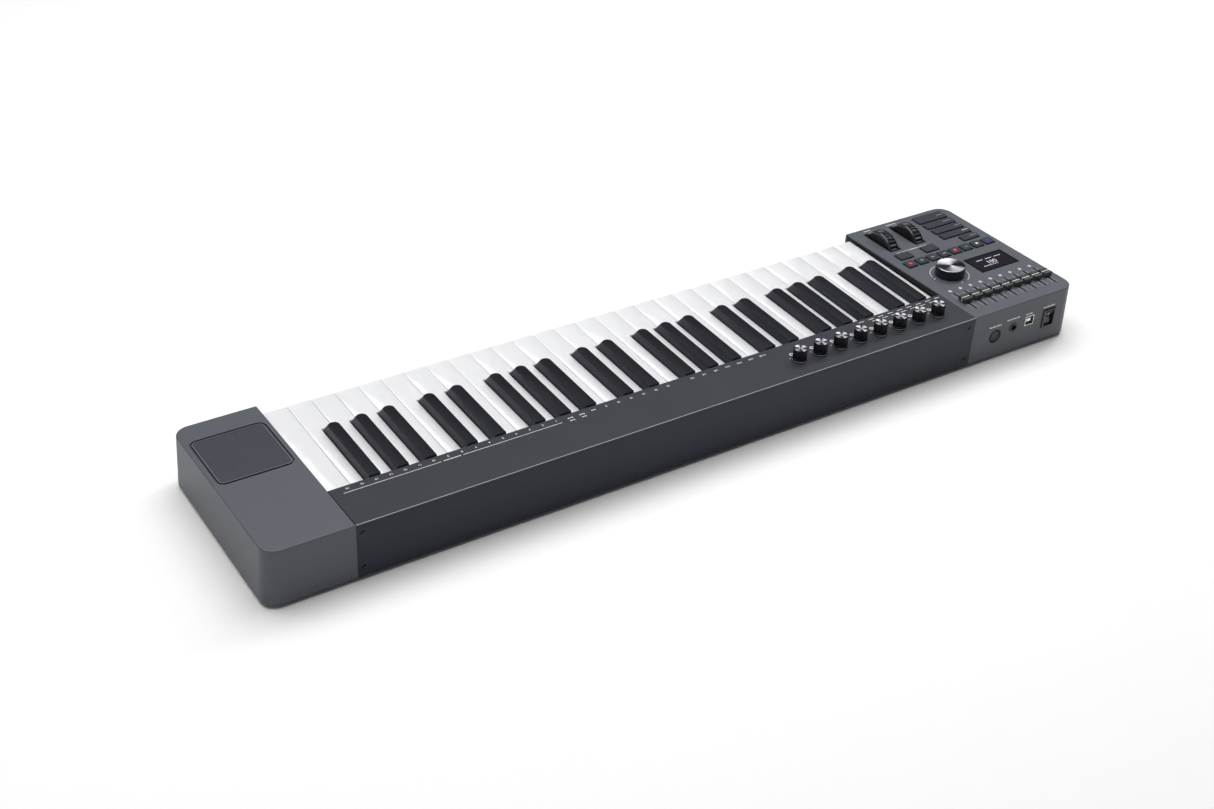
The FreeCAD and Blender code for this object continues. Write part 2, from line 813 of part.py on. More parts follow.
def tail_middles():
    middles = [semitone_middle(octave, semitone) for octave in range(OCTAVES) for semitone in range(12)]
    return middles + [semitone_middle(OCTAVES, 0)]


def key_frame():
    """The chassis: a plate, a guide post inside each white key, and ribs that carry the pivot bar."""
    floor = mm("foot_height") + mm("floor") + 0.2
    middles = tail_middles()
    pitch = mm("octave_width") / 12
    ends = (first_key_left() + 0.6, middles[-1] + pitch / 2 + 1.2)
    right = first_key_left() + key_pitch() * 29 - 0.6
    plate = block((ends[0], right), (-88.0, 96.0), (floor, floor + 2.2))
    front_wall = block((ends[0], right), (mm("guide_back") - 1.2, mm("guide_back") + 1.2), (floor, 22.0))
    rear_wall = block(ends, (95.2, 97.2), (floor, 34.0))
    pieces = [front_wall, rear_wall]
    post_back = (mm("guide_back") - 4, mm("guide_back") + 4)
    for number in range(29):
        middle = first_key_left() + key_pitch() * (number + 0.5)
        pieces.append(block((middle - 3, middle + 3), post_back, (floor, 38.2)))
    for number in range(len(middles) + 1):
        edge = middles[0] - pitch / 2 + pitch * number
        pieces.append(block((edge - 1.1, edge + 1.1), (80.0, 97.0), (floor, 44.0)))
    bar_start = Vector(middles[0] - pitch / 2, mm("pivot_back"), mm("pivot_height"))
    length = pitch * len(middles)
    pieces.append(Part.makeCylinder(mm("pivot_radius"), length, bar_start, Vector(1, 0, 0)))
    frame = doc.addObject("Part::Feature", "key_frame_solid")
    frame.Shape = plate.fuse(pieces).removeSplitter()
    node("key_frame", frame)


def key_springs():
    """One return spring behind each key's pivot, from the plate to the underside of the tail."""
    low = mm("foot_height") + mm("floor") + 2.6
    tubes = []
    for middle in tail_middles():
        start = Vector(middle, mm("pivot_back") + 3.4, low)
        length = mm("tail_bottom") - 0.5 - low
        outer = Part.makeCylinder(2.4, length, start)
        tubes.append(outer.cut(Part.makeCylinder(1.9, length, start)))
    springs = doc.addObject("Part::Feature", "key_springs_group")
    springs.Shape = Part.makeCompound(tubes)
    node("key_springs", springs)


def contact_strip():
    """The silicone strip on the contact board, one dome under each key's plunger."""
    middles = tail_middles()
    base = block((middles[0] - 6, middles[-1] + 6), (14.0, 26.0), (19.7, 21.0))
    domes = [Part.makeCone(4.2, 2.6, 5.0, Vector(middle, 20.0, 20.9)) for middle in middles]
    strip = doc.addObject("Part::Feature", "contact_strip_solid")
    strip.Shape = base.fuse(domes).removeSplitter()
    node("contact_strip", strip)


# ---------------------------------------------------------------- controls


def wheel(label, across):
    """A control wheel, turned about X."""
    half = dim("wheel_width") / 2
    start = (sized(across) - half, dim("wheel_back"), -dim("wheel_sink"))
    disc = cylinder(label + "_disc", start, dim("wheel_radius"), dim("wheel_width"), "x")
    disc = rounded(label + "_soft", disc, 1.6, lambda edge: edge.Length > 100)
    bore_start = (sized(across) - half - 1, dim("wheel_back"), -dim("wheel_sink"))
    bore = cylinder(label + "_bore", bore_start, dim("axle_bore"), dim("wheel_width") + 2, "x")
    node(label, on_panel(cut(label + "_cut", disc, [bore])))


def wheel_bracket():
    """The carrier under the panel: three plates on a foot, with the axle through them."""
    sink = -dim("wheel_sink")
    back = (dim("wheel_back") - 9, dim("wheel_back") + 9)
    low = sink - dim("wheel_radius") - 4
    clear = dim("wheel_width") / 2 + 1.2
    mod, pitch = dim("mod_across"), dim("pitch_across")
    span = (pitch - clear - 2, mod + clear + 2)
    axle_start = (span[0], dim("wheel_back"), sink)
    plates = [
        box("bracket_plate_a", (span[0], span[0] + 2), back, (low, -3.2)),
        box("bracket_plate_b", (pitch + clear, pitch + clear + 2), back, (low, -3.2)),
        box("bracket_plate_c", (mod - clear - 2, mod - clear), back, (low, -3.2)),
        box("bracket_plate_d", (span[1] - 2, span[1]), back, (low, -3.2)),
        box("bracket_foot", span, (dim("wheel_back") - 14, dim("wheel_back") + 14), (low - 2, low)),
        cylinder("bracket_axle", axle_start, dim("axle_radius"), span[1] - span[0], "x"),
    ]
    node("wheel_bracket", on_panel(fused("wheel_bracket_whole", plates)))


def knob(label, across, back, radius, height, edge_round):
    """A knob with its shaft, turned about the panel's normal."""
    foot = 0.5
    shaft_end = -8.5
    shaft = dim("shaft_radius")
    outline = [
        (0.0, shaft_end),
        (shaft, shaft_end),
        (shaft, foot),
        (radius, foot),
        (radius - 0.35, height),
        (0.0, height),
    ]
    body = turned(label, outline)
    top = sized(height).number

    def top_rim(edge):
        return edge.BoundBox.ZMin > top - 0.01 and edge.Length > 20

    fillet(body, label + "_edge", edge_round, top_rim)
    body.Placement = FreeCAD.Placement()
    moved(body, (across, back, 0.0))
    node(label, on_panel(grouped(label + "_part", [body])))


def fader(label, across):
    """A fader cap with a finger groove, and the metal lever that goes down into the slot."""
    half_width, half_length = dim("fader_cap_width") / 2, dim("fader_cap_length") / 2
    back = dim("fader_back")
    low, high = 1.0, 1.0 + dim("fader_cap_height")
    sides, ends = (across - half_width, across + half_width), (back - half_length, back + half_length)
    cap = box(label + "_cap", sides, ends, (low, high))
    groove_start = (across - half_width - 1, back, high + 11.2)
    groove = cylinder(label + "_groove", groove_start, 12.0, dim("fader_cap_width") + 2, "x")
    cap = cut(label + "_grooved", cap, [groove])
    lever = box(label + "_lever", (across - 0.6, across + 0.6), (back - 2.0, back + 2.0), (-7.0, low))
    node(label, on_panel(grouped(label + "_part", [cap, lever])))


def button(label, across, back, width, length):
    """A rubber key cap with the flange that holds it under the panel."""
    body = doc.addObject("PartDesign::Body", label + "_body")
    half_x, half_y = sized(width) / 2, sized(length) / 2
    flange = rectangle(
        sketch_on(body, label + "_flange_outline"),
        (across - half_x - 0.8, across + half_x + 0.8),
        (back - half_y - 0.8, back + half_y + 0.8),
    )
    pad(body, label + "_flange", flange, 1.2, -dim("wall") - 1.6)
    cap = rectangle(
        sketch_on(body, label + "_cap_outline"),
        (across - half_x, across + half_x),
        (back - half_y, back + half_y),
    )
    pad(body, label + "_cap", cap, dim("button_depth") + dim("button_rise"), -dim("button_depth"))

    def cap_upright(edge):
        return upright(edge) and edge.BoundBox.ZMax > mm("button_rise") - 0.1

    fillet(body, label + "_corners", dim("button_round"), cap_upright)
    fillet(body, label + "_rim", 0.6, lambda edge: edge.BoundBox.ZMin > mm("button_rise") - 0.01)
    node(label, on_panel(body))


def controls():
    wheel("mod_wheel", dim("mod_across"))
    wheel("pitch_wheel", dim("pitch_across"))
    wheel_bracket()
    knob("data_knob", dim("dial_across"), dim("dial_back"), dim("dial_radius"), dim("dial_height"), 0.8)
    for index in range(KNOBS):
        label = "knob_%d" % (index + 1)
        knob(label, knob_across(index), dim("knob_back"), dim("knob_radius"), dim("knob_height"), 0.6)
    for index in range(FADERS):
        fader("fader_%d" % (index + 1), fader_across(index))
    for index, (x, y, width, length) in enumerate(FUNCTION_BUTTONS):
        button("function_button_%d" % (index + 1), sized(x), sized(y), width, length)
    for label, (x, y, width, length) in OCTAVE_BUTTONS.items():
        button(label, sized(x), sized(y), width, length)
    for index in range(TRANSPORT_BUTTONS):
        label = "transport_button_%d" % (index + 1)
        size = (dim("transport_width"), dim("transport_length"))
        button(label, transport_across(index), dim("transport_back"), *size)


def touch_pad():
    """The pad's plate, stepped so that its flange closes the groove around it."""
    across = (dim("pad_left"), dim("pad_right"))
    back = (dim("pad_front"), dim("pad_back"))
    plate = box("pad_plate_block", across, back, (-2.6, -0.3))
    plate = rounded("pad_plate", plate, mm("pad_corner"), upright)
    edge = dim("pad_groove") - 0.15
    flange_across = (across[0] - edge, across[1] + edge)
    flange_back = (back[0] - edge, back[1] + edge)
    flange = box("pad_flange_block", flange_across, flange_back, (-2.6, -1.5))
    flange = rounded("pad_flange", flange, mm("pad_corner") + mm("pad_groove"), upright)
    node("touch_pad", on_panel(fused("touch_pad_whole", [plate, flange])))


def display():
    """The glass window, flush in the panel, and the module behind it."""
    across, back = (dim("window_left"), dim("window_right")), (dim("window_front"), dim("window_back"))
    glass = box("display_glass", across, back, (-1.4, -0.1))
    module_across, module_back = (across[0] + 0.8, across[1] - 0.8), (back[0] + 0.8, back[1] - 0.8)
    module = box("display_module", module_across, module_back, (-5.6, -1.4))
    node("display", on_panel(grouped("display_group", [glass, module])))


# ---------------------------------------------------------------- electrics


def potentiometers():
    """Rotary controls under the knobs and the dial, and the slide controls under the faders."""
    items = []
    places = [(knob_across(index), dim("knob_back"), 5.0) for index in range(KNOBS)]
    places.append((dim("dial_across"), dim("dial_back"), 6.5))
    for number, (x, y, half) in enumerate(places):
        body = box("pot_body_%d" % number, (x - half, x + half), (y - half, y + half), (-9.8, -3.0))
        bore = cylinder("pot_bore_%d" % number, (x, y, -12.0), dim("shaft_bore"), 12.0)
        items.append(cut("pot_%d" % number, body, [bore]))
    for index in range(FADERS):
        x, y = fader_across(index), dim("fader_back")
        body = box("slide_body_%d" % index, (x - 4.5, x + 4.5), (y - 22.5, y + 22.5), (-9.8, -2.8))
        half = dim("fader_slot_length") / 2
        slot = box("slide_slot_%d" % index, (x - 1.0, x + 1.0), (y - half, y + half), (-8.0, 0.0))
        items.append(cut("slide_%d" % index, body, [slot]))
    node("potentiometers", on_panel(grouped("potentiometer_group", items)))


def circuit_boards():
    thick = dim("board")
    under = -9.9 - thick
    panel_boards = on_panel(
        grouped(
            "panel_boards",
            [
                fused(
                    "control_board",
                    [
                        box("control_board_main", (-442.2, -322.0), (-90.0, 47.0), (under, -9.9)),
                        box("control_board_wing", (-441.5, -394.0), (-140.0, -89.0), (under, -9.9)),
                    ],
                ),
                box("knob_board", (-292.0, -98.0), (22.0, 40.0), (under, -9.9)),
                box("pad_board", (381.0, 438.0), (-119.0, -58.0), (-2.8 - thick, -2.8)),
            ],
        )
    )
    contact = box("contact_board", (-309.0, 366.0), (8.0, 32.0), (18.0, 18.0 + thick))
    sockets = box("socket_board", (-436.0, -330.0), (58.0, 98.0), (14.0, 14.0 + thick))
    node("circuit_boards", grouped("circuit_board_group", [panel_boards, contact, sockets]))


def socket_block(name, across, half, depth, top):
    """The moulded block of a rear socket, standing on its board and close behind the rear wall."""
    inside = dim("case_rear") - dim("wall") - 0.3
    return box(name, (across - half, across + half), (inside - depth, inside), (15.7, top))


def midi_socket():
    x, z = dim("midi_across"), dim("midi_height")
    inside, face = dim("case_rear") - dim("wall") - 0.3, dim("case_rear") - 0.5
    block_part = socket_block("midi_block", x, 10.0, 14.0, z + 10.0)
    barrel = cylinder("midi_barrel", (x, inside, z), dim("midi_radius"), face - inside, "y")
    ring = cut(
        "midi_ring",
        cylinder("midi_ring_outer", (x, face - 8.0, z), 6.9, 10.0, "y"),
        [cylinder("midi_ring_inner", (x, face - 9.0, z), 5.7, 12.0, "y")],
    )
    tools = [ring]
    for number, degrees in enumerate((180, 225, 270, 315, 360)):
        angle = math.radians(degrees)
        start = (x + 3.75 * math.cos(angle), face - 10.0, z + 3.75 * math.sin(angle))
        tools.append(cylinder("midi_pin_%d" % number, start, 0.8, 12.0, "y"))
    node("midi_socket", cut("midi_socket_cut", fused("midi_whole", [block_part, barrel]), tools))


def pedal_jack():
    x, z = dim("jack_across"), dim("jack_height")
    inside, face = dim("case_rear") - dim("wall") - 0.3, dim("case_rear") + 0.6
    block_part = socket_block("jack_block", x, 7.2, 34.0, z + 7.2)
    bush = cylinder("jack_bush_body", (x, inside, z), dim("jack_bush"), face - inside, "y")
    bore = cylinder("jack_bore_cutter", (x, face - 33.0, z), dim("jack_bore"), 40.0, "y")
    node("pedal_jack", cut("pedal_jack_cut", fused("jack_whole", [block_part, bush]), [bore]))


def usb_socket():
    """A type B socket: a folded steel shell around a tongue."""
    x, z = dim("usb_across"), dim("usb_height")
    half_x, half_z = dim("usb_width") / 2, dim("usb_tall") / 2
    face = dim("case_rear") - 0.2
    shell = box("usb_shell", (x - half_x, x + half_x), (face - 16.0, face), (z - half_z, z + half_z))
    legs = box("usb_legs", (x - half_x, x + half_x), (face - 14.0, face - 6.0), (15.7, z - half_z))
    mouth = box(
        "usb_mouth",
        (x - half_x + 0.7, x + half_x - 0.7),
        (face - 10.0, face + 2.0),
        (z - half_z + 0.7, z + half_z - 0.7),
    )
    tongue = box("usb_tongue", (x - 2.8, x + 2.8), (face - 10.5, face - 1.5), (z - 1.6, z + 1.6))
    opened = cut("usb_opened", fused("usb_whole", [shell, legs]), [mouth])
    node("usb_socket", fused("usb_socket_whole", [opened, tongue]))


def switch_frame():
    """The power switch's bezel and body, with the well that the rocker sits in."""
    x, z = dim("switch_across"), dim("switch_height")
    half_x, half_z = dim("switch_width") / 2, dim("switch_tall") / 2
    rear = dim("case_rear")
    proud = (rear, rear + dim("switch_proud"))
    bezel = box("switch_bezel", (x - half_x, x + half_x), proud, (z - half_z, z + half_z))
    bezel = rounded("switch_bezel_soft", bezel, 0.9, lambda edge: edge.BoundBox.YMin > mm("case_rear") + 1.3)
    neck = box(
        "switch_neck",
        (x - half_x + 1.4, x + half_x - 1.4),
        (rear - 16, rear),
        (z - half_z + 1.4, z + half_z - 1.4),
    )
    well_x, well_z = dim("rocker_width") / 2 + 0.4, dim("rocker_tall") / 2 + 0.7
    well = box("switch_well", (x - well_x, x + well_x), (rear - 12, rear + 5), (z - well_z, z + well_z))
    bearing_start = (x - half_x, rear - dim("rocker_sink"), z)
    bearing = cylinder("switch_bearing", bearing_start, dim("rocker_pin") + 0.06, dim("switch_width"), "x")
    node("switch_frame", cut("switch_frame_cut", fused("switch_whole", [bezel, neck]), [well, bearing]))


def power_rocker():
    """The rocker, a shallow vee seen from the side, on a pin along X; it rests pressed at the bottom."""
    body = doc.addObject("PartDesign::Body", "rocker_body")
    half = dim("rocker_tall") / 2
    sketch = sketch_on(body, "rocker_outline", "YZ_Plane")
    face = [(2.6, half), (3.4, half), (1.6, 0.0), (3.4, -half), (2.6, -half)]
    polygon(sketch, [(-6.0, -4.0), (-6.0, 4.0)] + face)
    item = body.newObject("PartDesign::Pad", "rocker_pad")
    item.Profile = sketch
    item.Type = "Length"
    item.Midplane = True
    bind(item, "Length", dim("rocker_width"))
    doc.recompute()
    body.Placement = FreeCAD.Placement(Vector(), FreeCAD.Rotation(Vector(1, 0, 0), -mm("rocker_tilt")))
    x, y, z = dim("switch_across"), dim("case_rear") - dim("rocker_sink"), dim("switch_height")
    moved(body, (x, y, z))
    reach = dim("rocker_width") / 2 + 1.2
    pin = cylinder("rocker_pin", (x - reach, y, z), dim("rocker_pin"), reach * 2, "x")
    node("power_rocker", fused("rocker_whole", [body, pin]))


# ---------------------------------------------------------------- build, check and write

control_housing()
pad_housing()
base_tray()
rail_cover()
rear_panel()
feet()
screws()
keys()
key_frame()
key_springs()
contact_strip()
controls()
touch_pad()
display()
potentiometers()
circuit_boards()
midi_socket()
pedal_jack()
usb_socket()
switch_frame()
power_rocker()
doc.recompute()

failed = [item.Name for item in doc.Objects if "Invalid" in item.State or "Error" in item.State]
if failed:
    raise SystemExit("failed: " + ", ".join(failed))
for label, item in nodes.items():
    shape = item.Shape
    if shape.isNull() or not shape.isValid() or not shape.Solids:
        raise SystemExit("bad shape: " + label)

os.makedirs("parts", exist_ok=True)
for label, item in nodes.items():
    item.Shape.exportStep("parts/%s.step" % label)
print("wrote %d parts" % len(nodes))
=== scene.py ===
import json
import math

import bmesh
import bpy
from mathutils import Matrix, Vector


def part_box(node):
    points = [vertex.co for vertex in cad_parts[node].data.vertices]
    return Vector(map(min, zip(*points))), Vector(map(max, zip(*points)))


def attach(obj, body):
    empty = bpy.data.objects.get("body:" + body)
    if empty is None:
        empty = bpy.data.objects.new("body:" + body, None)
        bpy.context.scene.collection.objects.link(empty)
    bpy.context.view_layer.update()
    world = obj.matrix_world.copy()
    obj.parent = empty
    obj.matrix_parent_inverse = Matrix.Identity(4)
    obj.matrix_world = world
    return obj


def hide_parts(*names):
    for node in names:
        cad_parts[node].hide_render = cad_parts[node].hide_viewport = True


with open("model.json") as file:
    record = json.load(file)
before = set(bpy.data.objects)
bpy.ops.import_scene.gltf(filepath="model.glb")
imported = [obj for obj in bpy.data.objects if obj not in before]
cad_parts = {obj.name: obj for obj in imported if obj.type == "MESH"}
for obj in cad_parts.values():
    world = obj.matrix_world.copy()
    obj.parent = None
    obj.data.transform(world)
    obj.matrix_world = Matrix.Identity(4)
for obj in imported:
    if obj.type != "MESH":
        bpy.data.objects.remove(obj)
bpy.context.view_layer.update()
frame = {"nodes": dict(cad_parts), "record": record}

MM = 0.001
BODY = {node: body for body, nodes in frame["record"]["behaviour"]["bodies"].items() for node in nodes}
JOINT = {joint["child"]: joint for joint in frame["record"]["behaviour"]["joints"]}

# The top panel slopes; (x, v, w) on it are millimetres across, back from the rail's front edge and out.
TILT = math.radians(1.49)
PANEL = Matrix.Translation((0.0, 47.2 * MM, 58.5 * MM)) @ Matrix.Rotation(TILT, 4, "X")

FADER_BACK = 23.6
TRANSPORT_BACK = -63.2
OCTAVE_BACK = -80.7
PAD_BACK = -88.25
PAD_LEVEL = -0.3
WINDOW_BACK = -27.7
WINDOW_LEVEL = -0.095


def on_panel(x, v, w=0.0):
    return PANEL @ Matrix.Translation((x * MM, v * MM, w * MM))


# ---------------------------------------------------------------- materials


def shader(name, **settings):
    """A material with its Principled shader; settings are the sockets that are the same all over."""
    material = bpy.data.materials.new(name)
    material.use_nodes = True
    principled = material.node_tree.nodes["Principled BSDF"]
    for key, value in settings.items():
        principled.inputs[key.replace("_", " ")].default_value = value
    return material, material.node_tree, principled


def noise(tree, scale, detail=3.0, stretch=(1.0, 1.0, 1.0), roughness=0.55):
    """Noise in the object's own metres; stretch squeezes it along an axis for grain."""
    place = tree.nodes.new("ShaderNodeTexCoord")
    mapping = tree.nodes.new("ShaderNodeMapping")
    mapping.inputs["Scale"].default_value = stretch
    texture = tree.nodes.new("ShaderNodeTexNoise")
    texture.inputs["Scale"].default_value = scale
    texture.inputs["Detail"].default_value = detail
    texture.inputs["Roughness"].default_value = roughness
    tree.links.new(place.outputs["Object"], mapping.inputs["Vector"])
    tree.links.new(mapping.outputs["Vector"], texture.inputs["Vector"])
    return texture.outputs["Fac"]


def ramp(tree, factor, low, high, start=0.3, end=0.7):
    """Turns a factor into a colour between low and high."""
    node = tree.nodes.new("ShaderNodeValToRGB")
    node.color_ramp.elements[0].position = start
    node.color_ramp.elements[1].position = end
    node.color_ramp.elements[0].color = (*low, 1.0)
    node.color_ramp.elements[1].color = (*high, 1.0)
    tree.links.new(factor, node.inputs["Fac"])
    return node.outputs["Color"]


def spread(tree, factor, low, high):
    """Turns a factor into a number between low and high."""
    node = tree.nodes.new("ShaderNodeMapRange")
    node.inputs["From Min"].default_value = 0.3
    node.inputs["From Max"].default_value = 0.7
    node.inputs["To Min"].default_value = low
    node.inputs["To Max"].default_value = high
    tree.links.new(factor, node.inputs["Value"])
    return node.outputs["Result"]


def bump(tree, principled, factor, strength, distance=0.0001):
    node = tree.nodes.new("ShaderNodeBump")
    node.inputs["Strength"].default_value = strength
    node.inputs["Distance"].default_value = distance
    tree.links.new(factor, node.inputs["Height"])
    tree.links.new(node.outputs["Normal"], principled.inputs["Normal"])


def shades(colour, amount):
    return [channel * (1 - amount) for channel in colour], [channel * (1 + amount) for channel in colour]


def moulded(name, colour, rough, amount=0.06, grain=2600.0, bumpiness=0.15, stretch=(1, 1, 1), **settings):
    """Plastic, rubber or paint: a broad drift of colour, and a fine grain that also varies the roughness."""
    material, tree, principled = shader(name, **settings)
    low, high = shades(colour, amount)
    tree.links.new(ramp(tree, noise(tree, 24.0, 4.0), low, high), principled.inputs["Base Color"])
    fine = noise(tree, grain, 2.0, stretch)
    tree.links.new(spread(tree, fine, rough - 0.05, rough + 0.05), principled.inputs["Roughness"])
    bump(tree, principled, fine, bumpiness)
    return material


def speckled(name, colour, rough, amount, grain, bumpiness, **settings):
    """A surface whose fine grain shows as light and dark specks."""
    material, tree, principled = shader(name, **settings)
    low, high = shades(colour, amount)
    fine = noise(tree, grain, 2.0, roughness=0.7)
    tree.links.new(ramp(tree, fine, low, high, 0.35, 0.65), principled.inputs["Base Color"])
    tree.links.new(spread(tree, fine, rough - 0.06, rough + 0.06), principled.inputs["Roughness"])
    bump(tree, principled, fine, bumpiness)
    return material


def spun(name, sectors, rough):
    """Turned metal: fine rings, and a painted fan of reflected light and shade, given as (turn, shade) stops.
    """
    material, tree, principled = shader(name, Metallic=1.0, Anisotropic=0.3, Anisotropic_Rotation=0.25)
    place = tree.nodes.new("ShaderNodeTexCoord")
    rings = tree.nodes.new("ShaderNodeTexWave")
    rings.wave_type = "RINGS"
    rings.rings_direction = "Z"
    rings.inputs["Scale"].default_value = 900.0
    rings.inputs["Distortion"].default_value = 1.5
    rings.inputs["Detail"].default_value = 2.0
    tree.links.new(place.outputs["Object"], rings.inputs["Vector"])
    fan = tree.nodes.new("ShaderNodeTexGradient")
    fan.gradient_type = "RADIAL"
    tree.links.new(place.outputs["Object"], fan.inputs["Vector"])
    shading = tree.nodes.new("ShaderNodeValToRGB")
    stops = shading.color_ramp.elements
    stops[0].position, stops[1].position = sectors[0][0], sectors[-1][0]
    for turn, _ in sectors[1:-1]:
        stops.new(turn)
    for stop, (_, shade) in zip(stops, sectors):
        stop.color = (min(1.0, shade * 1.7), min(1.0, shade * 1.68), min(1.0, shade * 1.85), 1.0)
    tree.links.new(fan.outputs["Fac"], shading.inputs["Fac"])
    blend = tree.nodes.new("ShaderNodeMix")
    blend.data_type = "RGBA"
    blend.blend_type = "MULTIPLY"
    blend.inputs["Factor"].default_value = 1.0
    tree.links.new(shading.outputs["Color"], blend.inputs["A"])
    grey = (0.9, 0.9, 0.9)
    tree.links.new(ramp(tree, rings.outputs["Fac"], grey, (1.0, 1.0, 1.0), 0.0, 1.0), blend.inputs["B"])
    tree.links.new(blend.outputs["Result"], principled.inputs["Base Color"])
    roughness = spread(tree, rings.outputs["Fac"], rough - 0.04, rough + 0.04)
    tree.links.new(roughness, principled.inputs["Roughness"])
    tangent = tree.nodes.new("ShaderNodeTangent")
    tangent.direction_type = "RADIAL"
    tangent.axis = "Z"
    tree.links.new(tangent.outputs["Tangent"], principled.inputs["Tangent"])
    return material


def metal(name, colour, rough):
    material, tree, principled = shader(name, Metallic=1.0)
    low, high = shades(colour, 0.15)
    grain = noise(tree, 900.0)
    tree.links.new(ramp(tree, grain, low, high), principled.inputs["Base Color"])
    tree.links.new(spread(tree, grain, rough - 0.08, rough + 0.08), principled.inputs["Roughness"])
    return material


CASE = speckled("case_plastic_look", (0.082, 0.088, 0.106), 0.44, 0.1, 1600.0, 0.22, Specular_IOR_Level=0.4)
TRAY = moulded("tray_plastic_look", (0.03, 0.032, 0.038), 0.4)
RAIL = moulded(
    "rail_plastic_look", (0.031, 0.034, 0.044), 0.46, grain=3200.0, bumpiness=0.16, Specular_IOR_Level=0.25
)
# A light rod along the rail's rear edge: a painted highlight on its rounded edge.
RAIL_EDGE_HIGHLIGHT = moulded("rail_edge_highlight_look", (0.42, 0.42, 0.43), 0.3)
REAR = moulded(
    "rear_panel_look", (0.015, 0.019, 0.031), 0.4, grain=2000.0, bumpiness=0.08, Specular_IOR_Level=0.25
)
WHITE = moulded(
    "white_key_look", (0.83, 0.835, 0.86), 0.16, 0.015, 400.0, 0.02,
    Coat_Weight=0.3, Subsurface_Weight=0.6, Subsurface_Radius=(1.0, 1.0, 1.0), Subsurface_Scale=0.005,
)
KEY_GRAIN = (1.0, 0.06, 1.0)
# Black keys: one plastic in three looks, a lighter side, a darker top and a lighter rounded edge, which are
# painted light, painted shade and a painted highlight.
BLACK_LIT_SIDE = moulded(
    "black_key_lit_side_look", (0.03, 0.031, 0.044), 0.42, 0.15, 2200.0, 0.3, KEY_GRAIN, Specular_IOR_Level=0.3
)
BLACK_SHADED_TOP = moulded(
    "black_key_shaded_top_look", (0.009, 0.0095, 0.015), 0.5, 0.25, 2200.0, 0.4, KEY_GRAIN, Specular_IOR_Level=0.1
)
BLACK_EDGE_HIGHLIGHT = moulded(
    "black_key_edge_highlight_look", (0.03, 0.03, 0.038), 0.35, 0.2, 2200.0, 0.2, Specular_IOR_Level=0.4
)
INNER = moulded("inner_plastic_look", (0.02, 0.02, 0.022), 0.5)
CHEEK = moulded(
    "cheek_look", (0.006, 0.006, 0.009), 0.4, grain=600.0, bumpiness=0.04, Specular_IOR_Level=0.15
)
KNOB = moulded(
    "knob_side_look", (0.008, 0.008, 0.011), 0.42, grain=2400.0, bumpiness=0.06, Specular_IOR_Level=0.3
)
# The fan painted on each turned top, anticlockwise from -X: how far round, and how light. It stands in for
# reflections but turns with the knob.
KNOB_REFLECTION_FAN = (
    (0.0, 0.34), (0.06, 0.2), (0.12, 0.015), (0.17, 0.015), (0.23, 0.25), (0.3, 0.36),
    (0.35, 0.05), (0.375, 0.01), (0.405, 0.01), (0.45, 0.12), (0.53, 0.38), (0.58, 0.2),
    (0.64, 0.02), (0.705, 0.015), (0.725, 0.5), (0.735, 1.0), (0.77, 1.0), (0.785, 0.4),
    (0.83, 0.3), (0.86, 0.03), (0.915, 0.01), (0.95, 0.15), (1.0, 0.34),
)
KNOB_TOP = spun("knob_top_look", KNOB_REFLECTION_FAN, 0.44)
KNOB_RING = metal("knob_ring_look", (0.8, 0.8, 0.83), 0.25)
WHEEL = moulded(
    "wheel_look", (0.008, 0.008, 0.011), 0.34, grain=1200.0, bumpiness=0.03, Specular_IOR_Level=0.35
)
# Lighter and bluish: a painted highlight on the wheels' shoulders, under a glossy coat.
WHEEL_RIM_HIGHLIGHT = moulded("wheel_rim_highlight_look", (0.02, 0.02, 0.03), 0.2, grain=1200.0, bumpiness=0.03, Coat_Weight=0.5)
FADER = moulded("fader_cap_look", (0.055, 0.055, 0.056), 0.45, grain=2600.0, bumpiness=0.2)
BUTTON = moulded(
    "button_rubber_look", (0.024, 0.028, 0.037), 0.55, grain=3000.0, bumpiness=0.35, Specular_IOR_Level=0.3
)
PAD = speckled("touch_pad_look", (0.036, 0.038, 0.053), 0.55, 0.45, 1500.0, 0.5, Specular_IOR_Level=0.35)
PAD_RIM = moulded("pad_rim_look", (0.12, 0.125, 0.15), 0.35)
FOOT = moulded("foot_rubber_look", (0.015, 0.015, 0.015), 0.75, bumpiness=0.4)
GLASS = moulded(
    "display_glass_look", (0.004, 0.004, 0.005), 0.08, grain=300.0, bumpiness=0.005, Specular_IOR_Level=0.35
)
SOCKET = moulded("socket_plastic_look", (0.015, 0.015, 0.016), 0.45)
SWITCH = moulded("switch_look", (0.012, 0.012, 0.014), 0.25, grain=900.0, bumpiness=0.04)
STEEL = metal("socket_steel_look", (0.75, 0.74, 0.7), 0.3)
SCREW = metal("screw_look", (0.05, 0.05, 0.055), 0.35)
SPRING = metal("spring_look", (0.6, 0.6, 0.62), 0.3)
LAMINATE = moulded("laminate_look", (0.02, 0.09, 0.04), 0.4, 0.2, 500.0)
DIAL = moulded("dial_side_look", (0.011, 0.012, 0.02), 0.3, grain=900.0, bumpiness=0.03)
# The fan painted on the dial's turned top, given the same way: painted reflections, which turn with the dial.
DIAL_REFLECTION_FAN = (
    (0.0, 0.012), (0.045, 0.03), (0.1, 0.16), (0.16, 0.32), (0.25, 0.36), (0.34, 0.32),
    (0.385, 0.2), (0.41, 0.03), (0.47, 0.012), (0.55, 0.03), (0.6, 0.15), (0.66, 0.35),
    (0.72, 0.5), (0.78, 0.58), (0.83, 0.5), (0.862, 0.2), (0.885, 0.015), (0.95, 0.01), (1.0, 0.012),
)
DIAL_TOP = spun("dial_top_look", DIAL_REFLECTION_FAN, 0.44)
DIAL_RIM = metal("dial_rim_look", (0.3, 0.3, 0.33), 0.22)
SCREEN = moulded(
    "screen_look", (0.011, 0.009, 0.015), 0.12, grain=300.0, bumpiness=0.005, Specular_IOR_Level=0.35
)
GLOW = moulded("readout_look", (0.75, 0.75, 0.78), 0.3, 0.03)
